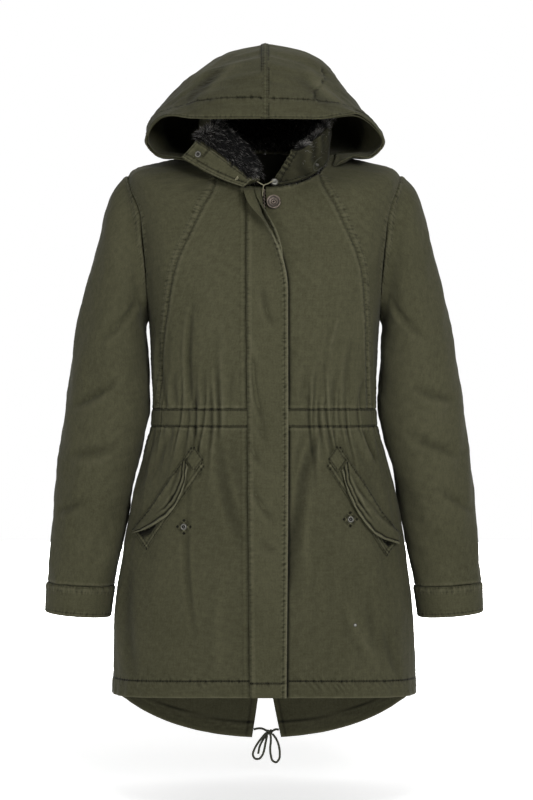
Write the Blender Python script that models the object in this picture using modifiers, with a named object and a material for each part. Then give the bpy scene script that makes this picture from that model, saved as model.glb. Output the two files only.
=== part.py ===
"""Hooded parka with a fishtail back, filled out as worn, built panel by panel as it is cut and sewn.

The tables hold millimetres and degrees, and the meshes are built in metres. +X is the wearer's left, -Y the
front and +Z up. The origin is between the shoulder tips. The body cloth is one smooth skin, torso(), which
the panels share; each panel is a stretch of it, as a wall whose outer face is the skin.
"""

import math

import bmesh
import bpy
import numpy as np
from mathutils import Vector

MM = 0.001
COLLECTION = "hooded_parka"

SEAM_GAP = 0.3
CLOTH = 2.0
CENTRE_X = -1.5
SIDE = 90.0
BACK = 180.0
SQUARENESS = 0.05

# Levels of the body skin, from the hem up, that the panels' edges refer to.
HEM, BAND_LOW, BAND_TOP, UNDERARM, SHOULDER_TIP, NECK = 0, 5, 6, 8, 11, 13

# Columns: level, half width, depth in front of and behind the side seam, height at the front centre, the
# sides and the back centre, and how sharply the height turns from centre to side, in front and behind.
TORSO = np.array([
    (0, 234, 134, 128, -794.5, -803.5, -897, 1.5, 1.75),
    (1, 230, 131, 124, -694, -696, -742, 2.0, 1.5),
    (2, 219, 127, 118, -600, -601, -620, 2.0, 2.0),
    (3, 203, 121, 111, -505, -506, -512, 2.0, 2.0),
    (4, 187, 113, 103, -440, -440, -442, 2.0, 2.0),
    (5, 174, 106, 96, -393, -393, -393, 2.0, 2.0),
    (6, 171.5, 105, 95, -366, -366, -366, 2.0, 2.0),
    (7, 174, 112, 103, -300, -300, -300, 2.0, 2.0),
    (8, 178, 118, 111, -225, -225, -225, 2.0, 2.0),
    (9, 190, 119, 113, -150, -148, -150, 2.0, 2.0),
    (10, 204, 116, 112, -92, -70, -80, 2.0, 2.0),
    (11, 208, 113, 106, -66, -5, -28, 2.0, 2.0),
    (12, 160, 109, 94, -48, 15, 12, 1.6, 2.0),
    (13, 98, 105, 78, -33, 27, 38, 1.15, 2.0),
], float)

# Broad folds of the body cloth: angle round the body, the two levels that it runs between, its width in
# degrees and its depth, where a negative depth is a trough.
BODY_FOLDS = (
    (-36, 4.9, 8.6, 9, -3.0),
    (-28, 3.0, 7.2, 8, 2.5),
    (38, 4.6, 7.6, 9, -2.5),
    (52, 1.4, 5.0, 11, -4.0),
    (-50, 1.0, 4.8, 12, -3.0),
    (22, 0.2, 4.6, 12, 3.0),
    (-18, 0.2, 4.4, 13, 3.0),
    (76, 0.2, 4.8, 12, 4.0),
    (-74, 0.4, 4.8, 12, 4.0),
    (112, 0.4, 4.9, 13, -4.0),
    (-110, 0.2, 4.9, 12, -4.5),
    (140, 0.6, 5.0, 13, 4.0),
    (-136, 0.8, 5.0, 12, 3.5),
    (160, 4.8, 8.0, 10, -3.0),
    (-164, 4.8, 7.6, 11, -2.5),
    (-126, 5.0, 7.8, 10, 2.5),
    (128, 5.0, 7.4, 10, 2.0),
)

# The princess seams, by their distance from the front centre, and the armhole's edge, by its angle.
PRINCESS = np.array([
    (6, 157.5, 162), (7, 154.5, 158), (8, 151.5, 149), (9, 144, 134),
    (10, 118, 106), (11, 103, 91), (12, 91, 80), (13, 82, 74),
], float)
ARMHOLE = np.array([
    (8, 90), (8.25, 79), (8.6, 72), (9.1, 67.5), (9.6, 64), (10.1, 62.5), (10.5, 67), (10.8, 77), (11, 90),
], float)

BODICE_LEVELS = (6, 7, 8, 8.25, 8.6, 9.1, 9.6, 10.1, 10.5, 10.8, 11, 11.5, 12, 12.5, 13)
SKIRT_LEVELS = (0, 0.5, 1, 1.7, 2.5, 3.3, 4.1, 5)
BAND_LEVELS = (5, 5.5, 6)

FRONT_EDGE_RIGHT = -4.0
FRONT_EDGE_LEFT = 1.0
# The back vent: the level where it ends, how sharply its edges part, and each edge's distance from the
# centre at the hem.
VENT_LEVEL = 1.0
VENT_CURVE = 1.3
VENT_WIDTHS = {"left": 26.9, "right": -19.9}

# The storm flap and the fly layer under it. Columns: height, x of the seam line, width, and how far it rolls
# open in radians.
FLAP_OUTER = np.array([
    (-802, -22.5, 54, 0.04), (-400, -26.5, 61, 0.04), (-240, -28, 62, 0.05), (-215, -28, 62, 0.06),
    (-183, -28, 62, 0.22),
    (-156, -28, 62, 0.66), (-118, -28, 62, 1.34), (-93, -28, 62, 1.93), (-78, -28, 61, 2.45),
    (-67, -28, 60, 2.85), (-55, -28, 58, 3.15), (-40, -28, 56, 3.4),
], float)
FLAP_UNDER = np.array([
    (-802, -21.5, 46, 0.03), (-400, -25.5, 53, 0.03), (-215, -27, 54, 0.03), (-183, -27, 54, 0.06),
    (-136, -27, 54, 0.3), (-118, -27, 54, 0.7), (-88, -27, 54, 1.45), (-72, -27, 54, 1.95),
    (-61, -27, 52, 2.2), (-51, -27, 51, 2.4), (-40, -27, 50, 2.5),
], float)
FLAP_LIFT_SHARE = 0.55
# How far out each layer lies, and its thickness.
STORM_FLAP_OUT = 2.8
STORM_FLAP_CLOTH = 1.4
UNDER_FLAP_OUT = 1.3
UNDER_FLAP_CLOTH = 1.1

# Inner and outer face of the layers that lie along another one, by their distance out from its skin.
CASING_WALL = (-CLOTH, 1.0)
ZIP_CHAIN_WALL = (-4.6, -1.2)
ZIP_TAPE_WALL = (-4.2, -2.8)
CUFF_WALL = (-1.8, 1.0)
HOOD_STRIP_WALL = (0.8, 1.8)
HOOD_FACING_WALL = (-CLOTH - 2.2, -CLOTH - 1.0)
COLLAR_FACING_WALL = (0.4, 1.9)
COLLAR_FUR_WALL = (1.2, 8.0)
POCKET_WELT_WALL = (1.2, 2.4)
POCKET_BOX_WALL = (2.8, 3.8)
POCKET_FLAP_WALL = (0.0, 1.6)
SNAP_PATCH_WALL = (0.4, 1.4)

# Sleeve rings past the armhole, as distances from the centre plane: the point furthest from the body, the
# point nearest to it, half the depth from front to back, and the middle's y.
SLEEVE = np.array([
    (219, -10, 183, -236, 60, 2),
    (234, -28, 183.5, -240, 65, 2),
    (245.5, -56, 183, -246, 68, 2),
    (257, -105, 182, -255, 70, 1),
    (270.5, -158, 180.5, -267, 71, 0),
    (287, -228, 179, -290, 71, -2),
    (299, -300, 177, -330, 71, -4),
    (307.5, -358, 176.5, -368, 70, -5),
    (314, -410, 185, -412, 68, -6),
    (321, -465, 198, -465, 65, -8),
    (328, -540, 213, -542, 60, -10),
    (334.5, -632, 231.5, -638, 53, -12),
], float)
CUFF = np.array([
    (334.6, -632.4, 231.4, -638.4, 53.2, -12),
    (336.5, -656, 234, -663, 53.5, -12),
    (337, -678, 237.5, -686, 53, -12),
], float)

# The hood: one row for each arch from the face opening (0) to the centre-back seam (1). Each arch starts on
# the neck seam, at this angle round the neck, and has six more points: over the shoulder, past the widest
# place and up to the crown on the centre plane.
HOOD_KEYS = np.array([0, 0.12, 0.32, 0.5, 0.68, 0.84, 1.0])
HOOD_NECK_ANGLES = np.array([64, 70, 86, 104, 128, 154, 180], float)
HOOD_ARCH_KEYS = np.array([0, 0.13, 0.29, 0.43, 0.62, 0.82, 1.0])
HOOD_ARCHES = np.array([
    [(126, -77, 10), (165, -66, 17), (182, -62, 41), (149, -96, 75), (82, -138, 65), (0, -150, 63)],
    [(130, -48, 15), (166, -36, 23), (182, -32, 50), (152, -62, 86), (80, -124, 90), (0, -138, 97)],
    [(136, -10, 28), (165, 0, 35), (174, -2, 68), (147, -20, 106), (80, -66, 147), (0, -92, 158)],
    [(128, 30, 31), (150, 36, 42), (159, 30, 78), (126, 8, 136), (66, -6, 181), (0, -12, 198)],
    [(110, 68, 38), (136, 80, 52), (145, 82, 88), (112, 70, 140), (58, 58, 180), (0, 56, 193)],
    [(64, 98, 44), (86, 113, 60), (91, 122, 92), (76, 120, 126), (40, 116, 150), (0, 112, 158)],
    [(0, 104, 46), (0, 128, 62), (0, 142, 90), (0, 146, 105), (0, 145, 114), (0, 142, 122)],
], float)
# How much further from the centre plane the hood's right half stands than its left, by height.
HOOD_LEAN = np.array([
    (0, 0), (41, 0), (75, 0.034), (106, 0.047), (139, 0.05), (170, -0.035), (200, 0),
], float)

# The collar's inner face, by stations from the wearer's right front edge, round the back, to the left front
# edge. Each has its foot and three points more, up to the top edge. The right front lies rolled open, so its
# first feet are places of their own, and the others follow the neck seam at these angles.
COLLAR_HEIGHTS = np.array([0, 0.33, 0.67, 1.0])
COLLAR_OPEN_FEET = np.array([(-32, -127, -36), (-19, -131, -26), (-8, -122, -25)], float)
COLLAR_NECK_ANGLES = -np.array([12, 38, 66, 108, 145, 180, 215, 252, 294, 320, 342, 355], float)
COLLAR = np.array([
    [(-62, -119, -25), (-94, -112, -9), (-126, -104, 11)],
    [(-46, -126, -4), (-73, -118, 17), (-101, -109, 37)],
    [(-18, -117, 7), (-42, -106, 35), (-76, -93, 62)],
    [(-34, -96, 6), (-56, -78, 42), (-80, -66, 72)],
    [(-66, -74, 18), (-74, -62, 52), (-86, -52, 82)],
    [(-95, -37, 38), (-96, -34, 68), (-96, -31, 96)],
    [(-95, 25, 60), (-95, 26, 88), (-95, 27, 114)],
    [(-59, 68, 68), (-60, 72, 96), (-61, 76, 122)],
    [(0, 83, 70), (0, 88, 98), (0, 92, 124)],
    [(59, 68, 68), (60, 72, 96), (61, 76, 122)],
    [(94, 25, 58), (95, 26, 84), (96, 27, 108)],
    [(95, -36, 34), (98, -34, 58), (101, -32, 80)],
    [(69, -74, 4), (74, -68, 27), (80, -62, 50)],
    [(38, -93, -10), (47, -88, 9), (56, -81, 28)],
    [(16, -103, -17), (28, -101, 2), (40, -96, 24)],
], float)
COLLAR_FOOT_LIFT = 2.2
COLLAR_FUR_RANGE = (1.0, 13.0)

# The slanted pockets, measured flat on the front: top and foot of the sewn edge, and width of the patch.
POCKET_ENDS = {"right": ((110, -423), (200, -549)), "left": ((112, -422), (205, -559))}
POCKET_ACROSS = (-0.57, -0.82)
POCKET_WIDTH = 36.0
POCKET_FLAP_OUT = 3.2
# Columns of the pocket flaps: share of the way down the pocket, how far the flap reaches and stands off.
POCKET_FLAPS = {
    "right": ((0.14, 15, 2.5), (0.32, 30, 5.0), (0.55, 34, 4.0), (0.75, 26, 7.0), (0.98, 9, 8.0)),
    "left": ((0.14, 20, 3.0), (0.32, 32, 4.0), (0.55, 37, 3.5), (0.75, 34, 5.0), (0.98, 16, 8.0)),
}
SNAP_PLACES = {"right": (-121, -542), "left": (127, -531)}
SNAP_PATCH = 17.0

STUD_PLACE = (134, -688)
BUTTON_PLACE = (12.5, -57)

CORD = 3.6
CORD_Y = 127.0
# The drawcord's strands at the vent, as x and z of their points: two from the hem channel to the knot, the
# two loops of the bow, and the free end.
CORD_STRANDS = {
    "cord_tie_right": (0, ((-18.8, -884), (-12, -882.4), (-5, -882.6), (1.3, -885.6))),
    "cord_tie_left": (0, ((22, -884.4), (17.4, -883.8), (14.6, -884.7), (12.1, -886.2))),
    "cord_loop_right": (0, (
        (1.2, -890.2), (-5, -897), (-12, -906), (-18, -917), (-20, -925), (-16.5, -931), (-10.5, -931.5),
        (-5, -926), (-2, -918), (0, -908), (3, -893.6),
    )),
    "cord_loop_left": (0, (
        (8.4, -893), (9, -902), (8, -914), (9, -926), (12, -934.5), (17.4, -937), (22.2, -932),
        (23.4, -923), (22, -911), (18, -900), (11.9, -891.2),
    )),
    "cord_end": (4.0, ((2, -893.5), (-4, -902), (-9, -912), (-11.4, -924))),
}
KNOT_PLACE = (6.8, -888.2)
KNOT_SIZE = (5.6, 4.6, 4.6)

MATERIALS = {
    "olive_cloth": ((0.072, 0.066, 0.040), 0.85, 0.0),
    "dark_pile": ((0.012, 0.012, 0.011), 0.95, 0.0),
    "zip_tape": ((0.045, 0.043, 0.032), 0.8, 0.0),
    "aged_metal": ((0.16, 0.11, 0.085), 0.45, 0.9),
    "braided_cord": ((0.030, 0.032, 0.020), 0.8, 0.0),
}


def clear_scene():
    for old in list(bpy.data.objects):
        bpy.data.objects.remove(old, do_unlink=True)


def make_material(name):
    colour, roughness, metallic = MATERIALS[name]
    material = bpy.data.materials.new(name)
    material.use_nodes = True
    shader = material.node_tree.nodes["Principled BSDF"]
    shader.inputs["Base Color"].default_value = (*colour, 1.0)
    shader.inputs["Roughness"].default_value = roughness
    shader.inputs["Metallic"].default_value = metallic
    material.diffuse_color = (*colour, 1.0)
    return material


def smooth(keys, values, at):
    """The values at any keys, on a cubic curve through the rows."""
    keys = np.asarray(keys, float)
    values = np.asarray(values, float)
    at = np.clip(np.asarray(at, float), keys[0], keys[-1])
    slopes = np.gradient(values, keys, axis=0)
    low = np.clip(np.searchsorted(keys, at, side="right") - 1, 0, len(keys) - 2)
    step = keys[low + 1] - keys[low]
    share = (at - keys[low]) / step
    spread = share.shape + (1,) * (values.ndim - 1)
    step = step.reshape(spread)
    share = share.reshape(spread)
    rest = 1 - share
    ends = (1 + 2 * share) * rest**2 * values[low] + share**2 * (3 - 2 * share) * values[low + 1]
    return ends + share * rest * step * (rest * slopes[low] - share * slopes[low + 1])


def unit(vectors):
    return vectors / np.maximum(np.linalg.norm(vectors, axis=-1, keepdims=True), 1e-9)


# ---------------------------------------------------------------------------------------------- body skin


def ring_side(theta):
    return (np.sin(theta) + SQUARENESS * np.sin(3 * theta)) / (1 - SQUARENESS)


def ring_depth(theta):
    return (np.cos(theta) - SQUARENESS * np.cos(3 * theta)) / (1 - SQUARENESS)


def plain_torso(angle, level):
    """The body skin without folds. Angle 0 is the front centre and 90 the wearer's left side."""
    angle, level = np.broadcast_arrays(np.asarray(angle, float), np.asarray(level, float))
    theta = np.radians(angle)
    row = np.moveaxis(smooth(TORSO[:, 0], TORSO[:, 1:], level), -1, 0)
    half_width, front, back, z_front, z_side, z_back, front_power, back_power = row
    depth = ring_depth(theta)
    in_front = np.cos(theta) > 0
    centre_z = np.where(in_front, z_front, z_back)
    power = np.where(in_front, front_power, back_power)
    x = CENTRE_X + half_width * ring_side(theta)
    y = -np.where(in_front, front, back) * depth
    z = z_side + (centre_z - z_side) * np.abs(np.cos(theta)) ** power
    return np.stack([x, y, z], axis=-1)


def torso_normal(angle, level):
    across = plain_torso(np.asarray(angle) + 0.5, level) - plain_torso(np.asarray(angle) - 0.5, level)
    low = np.clip(np.asarray(level, float) - 0.03, HEM, NECK - 0.06)
    up = plain_torso(angle, low + 0.06) - plain_torso(angle, low)
    return unit(np.cross(across, up))


def fold_depth(angle, level):
    """How far the folds move the body skin out."""
    total = np.zeros(np.broadcast(angle, level).shape)
    for centre, low, high, width, depth in BODY_FOLDS:
        away = (np.asarray(angle, float) - centre + 180) % 360 - 180
        across = np.cos(np.clip(away / width, -1, 1) * math.pi / 2) ** 2
        along = np.clip((np.asarray(level, float) - low) / (high - low), 0, 1)
        total = total + depth * across * np.sin(math.pi * along) ** 0.7
    return total


def torso(angle, level, out=0.0):
    move = fold_depth(angle, level) + out
    return plain_torso(angle, level) + torso_normal(angle, level) * np.asarray(move)[..., None]


FINE_ANGLES = np.linspace(-90, 90, 361)
FINE_SIDES = ring_side(np.radians(FINE_ANGLES))


def angle_at(x, level):
    """The angle at which the front half of the skin has this x."""
    half_width = smooth(TORSO[:, 0], TORSO[:, 1], level)
    return np.interp((np.asarray(x, float) - CENTRE_X) / half_width, FINE_SIDES, FINE_ANGLES)


def front_place(x, z):
    """Angle and level of the point of the front that has this x and this height."""
    x, z = np.broadcast_arrays(np.asarray(x, float), np.asarray(z, float))
    level = np.interp(z, TORSO[:, 4], TORSO[:, 0])
    for _ in range(6):
        angle = angle_at(x, level)
        here = plain_torso(angle, level)[..., 2]
        slope = (plain_torso(angle, np.minimum(level + 0.01, NECK))[..., 2] - here) / 0.01
        level = np.clip(level + (z - here) / np.maximum(slope, 5.0), HEM, NECK)
    return angle_at(x, level), level


def front_point(x, z, out=0.0):
    angle, level = front_place(x, z)
    return torso(angle, level, out)


def front_normal(x, z):
    return torso_normal(*front_place(x, z))


# -------------------------------------------------------------------------------------------- cloth walls


def add_object(name, mesh, material):
    piece = bpy.data.objects.new(name, mesh)
    piece.data.materials.append(material)
    bpy.data.collections[COLLECTION].objects.link(piece)
    return piece


def grid_normals(points, wrap=False):
    """Normals of a grid of points, on the side from which its rows go up and its columns go right."""
    if wrap:
        across = np.roll(points, -1, axis=1) - np.roll(points, 1, axis=1)
    else:
        across = np.gradient(points, axis=1)
    return unit(np.cross(across, np.gradient(points, axis=0)))


def seam_inset(points, sides):
    """Draws the named edges of a grid back by half the seam gap."""
    points = points.copy()
    edges = {"left": (0, 1, 1), "right": (-1, -2, 1), "low": (0, 1, 0), "top": (-1, -2, 0)}
    for side in sides:
        edge, inside, axis = edges[side]
        moved = np.moveaxis(points, axis, 0)
        moved[edge] += unit(moved[inside] - moved[edge]) * SEAM_GAP / 2
    return points


def cloth_wall(name, points, normals, material, inner=-CLOTH, outer=0.0, wrap=False):
    """A closed wall round a grid of points, from inner to outer along the normals."""
    rows, columns = points.shape[:2]
    skins = [points + normals * outer, points + normals * inner]
    mesh = bmesh.new()
    corners = [[[mesh.verts.new(point * MM) for point in row] for row in skin] for skin in skins]
    last = columns if wrap else columns - 1
    for skin in corners:
        for below, above in zip(skin, skin[1:]):
            for column in range(last):
                after = (column + 1) % columns
                mesh.faces.new([below[column], below[after], above[after], above[column]])
    for row in (0, rows - 1):
        for column in range(last):
            after = (column + 1) % columns
            face = [corners[0][row][column], corners[0][row][after]]
            mesh.faces.new(face + [corners[1][row][after], corners[1][row][column]])
    if not wrap:
        for column in (0, columns - 1):
            for row in range(rows - 1):
                face = [corners[0][row][column], corners[0][row + 1][column]]
                mesh.faces.new(face + [corners[1][row + 1][column], corners[1][row][column]])
    bmesh.ops.recalc_face_normals(mesh, faces=mesh.faces)
    data = bpy.data.meshes.new(name)
    mesh.to_mesh(data)
    mesh.free()
    data.shade_smooth()
    data.set_sharp_from_angle(angle=math.radians(50))
    return add_object(name, data, material)


def torso_panel(name, levels, low_angle, high_angle, columns, material, sides, inner=-CLOTH, outer=0.0):
    """A panel of the body skin between two seams, each given as an angle for each level."""
    levels = np.asarray(levels, float)
    start = np.array([low_angle(level) for level in levels])[:, None]
    end = np.array([high_angle(level) for level in levels])[:, None]
    angles = start + (end - start) * np.linspace(0, 1, columns + 1)[None, :]
    grid_levels = np.broadcast_to(levels[:, None], angles.shape)
    points = seam_inset(torso(angles, grid_levels), sides)
    return cloth_wall(name, points, torso_normal(angles, grid_levels), material, inner, outer)


ALL_ROUND = ("left", "right", "low", "top")


def side_angle(level):
    """The side seam and, above it, the armhole's front edge."""
    if level <= UNDERARM or level >= SHOULDER_TIP:
        return SIDE
    return float(smooth(ARMHOLE[:, 0], ARMHOLE[:, 1], level))


def princess_angle(level, side):
    column = 1 if side > 0 else 2
    return float(angle_at(side * smooth(PRINCESS[:, 0], PRINCESS[:, column], level), level))


def front_edge(x):
    """The straight edge of a front piece beside the zip, as an angle for each level."""
    return lambda level: float(angle_at(x, level))


def build_bodice(cloth):
    closed_right = front_edge(FRONT_EDGE_RIGHT)
    closed_left = front_edge(FRONT_EDGE_LEFT)

    def seam_right(level):
        return princess_angle(level, -1)

    def seam_left(level):
        return princess_angle(level, 1)

    panels = {
        "front_side_right": (lambda level: -side_angle(level), seam_right, 3, ALL_ROUND),
        "front_centre_right": (seam_right, closed_right, 5, ("left", "low", "top")),
        "front_centre_left": (closed_left, seam_left, 5, ("right", "low", "top")),
        "front_side_left": (seam_left, side_angle, 3, ALL_ROUND),
        "back_bodice": (
            lambda level: BACK - side_angle(level), lambda level: BACK + side_angle(level), 14, ALL_ROUND,
        ),
    }
    for name, (start, end, columns, sewn) in panels.items():
        torso_panel(name, BODICE_LEVELS, start, end, columns, cloth, sewn)


def build_waist_casing(cloth):
    """The drawstring casing between bodice and skirt, double cloth that stands a little proud."""
    spans = {
        "waist_casing_left": (front_edge(FRONT_EDGE_LEFT), lambda level: SIDE, 9),
        "waist_casing_back": (lambda level: SIDE, lambda level: BACK + SIDE, 16),
        "waist_casing_right": (lambda level: -SIDE, front_edge(FRONT_EDGE_RIGHT), 9),
    }
    for name, (start, end, columns) in spans.items():
        torso_panel(name, BAND_LEVELS, start, end, columns, cloth, ALL_ROUND, *CASING_WALL)


def vent_edge(width):
    """One edge of the back vent, as an angle for each level, this far off centre at the hem."""

    def edge(level):
        share = max(0.0, 1 - level / VENT_LEVEL) ** VENT_CURVE
        return BACK - float(angle_at(CENTRE_X + width * share, level))

    return edge


def build_skirt(cloth):
    spans = {
        "skirt_front_left": (front_edge(FRONT_EDGE_LEFT), lambda level: SIDE, 11),
        "skirt_front_right": (lambda level: -SIDE, front_edge(FRONT_EDGE_RIGHT), 11),
        "skirt_back_left": (lambda level: SIDE, vent_edge(VENT_WIDTHS["left"]), 11),
        "skirt_back_right": (vent_edge(VENT_WIDTHS["right"]), lambda level: BACK + SIDE, 11),
    }
    for name, (start, end, columns) in spans.items():
        torso_panel(name, SKIRT_LEVELS, start, end, columns, cloth, ("left", "right", "top"))


# ------------------------------------------------------------------------------------------ front closing


def flap_grid(table, heights, shares, out):
    """Points of a flap sewn along a line of the front, which rolls open towards its top."""
    z = np.asarray(heights, float)[:, None]
    share = np.asarray(shares, float)[None, :]
    sewn, width, roll = np.moveaxis(smooth(table[:, 0], table[:, 1:], z), -1, 0)
    turn = roll * share
    x = sewn + width * np.sin(turn) / roll
    lift = FLAP_LIFT_SHARE * width * (1 - np.cos(turn)) / roll
    angle, level = front_place(x, np.broadcast_to(z, x.shape))
    normal = torso_normal(angle, level)
    level_points = normal * np.array([1, 1, 0.3])
    return torso(angle, level, out) + level_points * lift[..., None]


ROLL_LEVELS = (8.8, 9.1, 9.4, 9.7, 10, 10.4, 10.8, 11.4, 12, 12.6)
FLAP_LEVELS = SKIRT_LEVELS[:-1] + BAND_LEVELS + BODICE_LEVELS[1:5] + ROLL_LEVELS


def centre_heights(levels):
    return plain_torso(0, np.asarray(levels, float))[:, 2]


def build_flaps(cloth):
    heights = centre_heights(FLAP_LEVELS)
    outer = flap_grid(FLAP_OUTER, heights, np.linspace(0, 1, 6), STORM_FLAP_OUT)
    cloth_wall("storm_flap", outer, grid_normals(outer), cloth, 0.0, STORM_FLAP_CLOTH)
    under = flap_grid(FLAP_UNDER, heights, np.linspace(0, 1, 5), UNDER_FLAP_OUT)
    cloth_wall("under_flap", under, grid_normals(under), cloth, 0.0, UNDER_FLAP_CLOTH)


ZIP_LEVELS = SKIRT_LEVELS[1:-1] + BAND_LEVELS + (7, 8, 8.6, 9.1, 9.6, 10.1, 11, 12, 12.9)
ZIP_TAPE_WIDTH = 13.0
ZIP_CHAIN_HALF_WIDTH = 1.7


def front_strip(name, heights, low_x, high_x, columns, material, inner, outer):
    x, z = np.meshgrid(np.linspace(low_x, high_x, columns + 1), heights)
    return cloth_wall(name, front_point(x, z), front_normal(x, z), material, inner, outer)


def build_zip(tape, metal):
    """The closed zip behind the front edges, of which the top shows."""
    middle = (FRONT_EDGE_LEFT + FRONT_EDGE_RIGHT) / 2
    chain = (middle - ZIP_CHAIN_HALF_WIDTH, middle + ZIP_CHAIN_HALF_WIDTH)
    heights = centre_heights(ZIP_LEVELS)
    front_strip("zip_chain", heights, *chain, 1, metal, *ZIP_CHAIN_WALL)
    right_end = chain[0] - SEAM_GAP
    left_end = chain[1] + SEAM_GAP
    front_strip("zip_tape_right", heights, right_end - ZIP_TAPE_WIDTH, right_end, 1, tape, *ZIP_TAPE_WALL)
    front_strip("zip_tape_left", heights, left_end, left_end + ZIP_TAPE_WIDTH, 1, tape, *ZIP_TAPE_WALL)


# ------------------------------------------------------------------------------------------------ sleeves


def armhole_loop(side):
    """The armhole's edge, from the underarm up the front to the shoulder tip and down the back, with its
    normals and the share of the way round that each point lies at."""
    levels, fronts = ARMHOLE.T
    angles = side * np.concatenate([fronts, BACK - fronts[-2:0:-1]])
    levels = np.concatenate([levels, levels[-2:0:-1]])
    points = torso(angles, levels)
    half = len(fronts)
    front_shares = arc_shares(points[:half])
    back_shares = arc_shares(np.concatenate([points[half - 1:], points[:1]]))
    shares = np.concatenate([front_shares / 2, 0.5 + back_shares[1:-1] / 2])
    return points, torso_normal(angles, levels), shares


def arc_shares(points):
    steps = np.linalg.norm(np.diff(points, axis=0), axis=1)
    return np.concatenate([[0], np.cumsum(steps)]) / steps.sum()


def sleeve_ring(row, shares, side):
    """A sleeve ring as an ellipse; share 0 is its point nearest the body and 0.5 its outer point."""
    outer_x, outer_z, inner_x, inner_z, half_depth, centre_y = row
    outer = np.array([CENTRE_X + side * outer_x, centre_y, outer_z])
    inner = np.array([CENTRE_X + side * inner_x, centre_y, inner_z])
    turn = 2 * math.pi * np.asarray(shares)[:, None]
    forward = np.array([0, -half_depth, 0])
    return (outer + inner) / 2 + (inner - outer) / 2 * np.cos(turn) + forward * np.sin(turn)


LEAST_AGREEMENT = 0.75


def build_sleeve(name, side, cloth):
    """A sleeve from the armhole down. Its edge takes the body's normals where the faces run on smoothly."""
    edge, edge_normals, shares = armhole_loop(side)
    rings = [sleeve_ring(row, shares, side) for row in SLEEVE]
    outward = unit(rings[0] - edge)
    points = np.stack([edge + outward * SEAM_GAP] + rings)
    normals = -side * grid_normals(points, wrap=True)
    same_way = (normals[0] * edge_normals).sum(axis=1, keepdims=True) > LEAST_AGREEMENT
    normals[0] = np.where(same_way, edge_normals, normals[0])
    return cloth_wall(name, points, normals, cloth, -CLOTH, 0.0, wrap=True)


def build_cuff(name, side, cloth):
    shares = armhole_loop(side)[2]
    points = np.stack([sleeve_ring(row, shares, side) for row in CUFF])
    return cloth_wall(name, points, -side * grid_normals(points, wrap=True), cloth, *CUFF_WALL, wrap=True)


# --------------------------------------------------------------------------------------------------- hood


HOOD_FOOT_DROP = 0.2
HOOD_FOOT_LIFT = 2.8
HOOD_ARCH_SHARES = (0, 0.08, 0.16, 0.24, 0.3, 0.36, 0.43, 0.52, 0.62, 0.72, 0.82, 0.91, 1)
HOOD_DEPTH_SHARES = (0, 0.12, 0.25, 0.39, 0.53, 0.68, 0.84, 0.93, 1)
FACING_DEPTH_SHARES = (0.004, 0.06, 0.11)
STRIP_HALF_WIDTH = 6.5


def hood_grid(arch_shares, depth_shares, side):
    """Points of one half of the hood: columns go up each arch and rows go back from the face opening."""
    feet = torso(HOOD_NECK_ANGLES, NECK - HOOD_FOOT_DROP, HOOD_FOOT_LIFT)
    arches = np.concatenate([feet[:, None], HOOD_ARCHES], axis=1)
    rows = smooth(HOOD_KEYS, arches, np.asarray(depth_shares, float))
    half = np.stack([smooth(HOOD_ARCH_KEYS, row, np.asarray(arch_shares, float)) for row in rows])
    lean = smooth(HOOD_LEAN[:, 0], HOOD_LEAN[:, 1], half[..., 2])
    half[..., 0] = side * np.maximum(half[..., 0] * (1 - side * lean), SEAM_GAP / 2)
    return half


def hood_normals(points, side):
    """Normals of a hood half, kept in the centre plane along its centre seams."""
    normals = -side * grid_normals(points)
    normals[-1] = (0, 1, 0)
    normals[:, -1, 0] = 0
    return unit(normals)


def build_hood(cloth):
    for name, side in (("hood_left", 1), ("hood_right", -1)):
        half = hood_grid(HOOD_ARCH_SHARES, HOOD_DEPTH_SHARES, side)
        cloth_wall(name, half, hood_normals(half, side), cloth)
    build_hood_strip(cloth)
    build_hood_facing(cloth)


def build_hood_strip(cloth):
    """The felled strip over the centre seam, from the brim to the back of the head."""
    edges = []
    for side in (-1, 1):
        crown = hood_grid(HOOD_ARCH_SHARES[-2:], HOOD_DEPTH_SHARES[:-1], side)
        slope = (crown[:, 0] - crown[:, 1]) / np.abs(crown[:, :1, 0])
        edges.append(crown[:, 1] + slope * STRIP_HALF_WIDTH)
    points = np.stack([edges[0], crown[:, 1] * (0, 1, 1), edges[1]], axis=1)
    cloth_wall("hood_strip", points, grid_normals(points), cloth, *HOOD_STRIP_WALL)


def build_hood_facing(cloth):
    """The brim's inner facing, one band round the face opening."""
    right, left = [hood_grid(HOOD_ARCH_SHARES[1:], FACING_DEPTH_SHARES, side) for side in (-1, 1)]
    whole = np.concatenate([right[:, :-1], right[:, -1:] * (0, 1, 1), left[:, -2::-1]], axis=1)
    cloth_wall("hood_facing", whole, grid_normals(whole), cloth, *HOOD_FACING_WALL)


# ------------------------------------------------------------------------------------------------- collar


def collar_feet(stations):
    """The collar's lower edge: round the neck seam, and off it where the right front is rolled open."""
    first = len(COLLAR_OPEN_FEET)
    ring_stations = np.arange(first, first + len(COLLAR_NECK_ANGLES))
    ring = torso(smooth(ring_stations, COLLAR_NECK_ANGLES, stations), NECK, COLLAR_FOOT_LIFT)
    corner = torso(COLLAR_NECK_ANGLES[:1], NECK, COLLAR_FOOT_LIFT)
    rolled = smooth(np.arange(first + 1), np.concatenate([COLLAR_OPEN_FEET, corner]), stations)
    return np.where((stations < first)[:, None], rolled, ring)


def collar_grid(stations, heights):
    stations = np.asarray(stations, float)
    feet = collar_feet(stations)
    posts = np.concatenate([feet[:, None], smooth(np.arange(len(COLLAR)), COLLAR, stations)], axis=1)
    return np.stack([smooth(COLLAR_HEIGHTS, post, np.asarray(heights, float)) for post in posts], axis=1)


COLLAR_STATIONS = np.concatenate([np.arange(0, 6.1, 0.5), np.arange(7, 10, 1), np.arange(10, 14.1, 0.5)])


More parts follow.
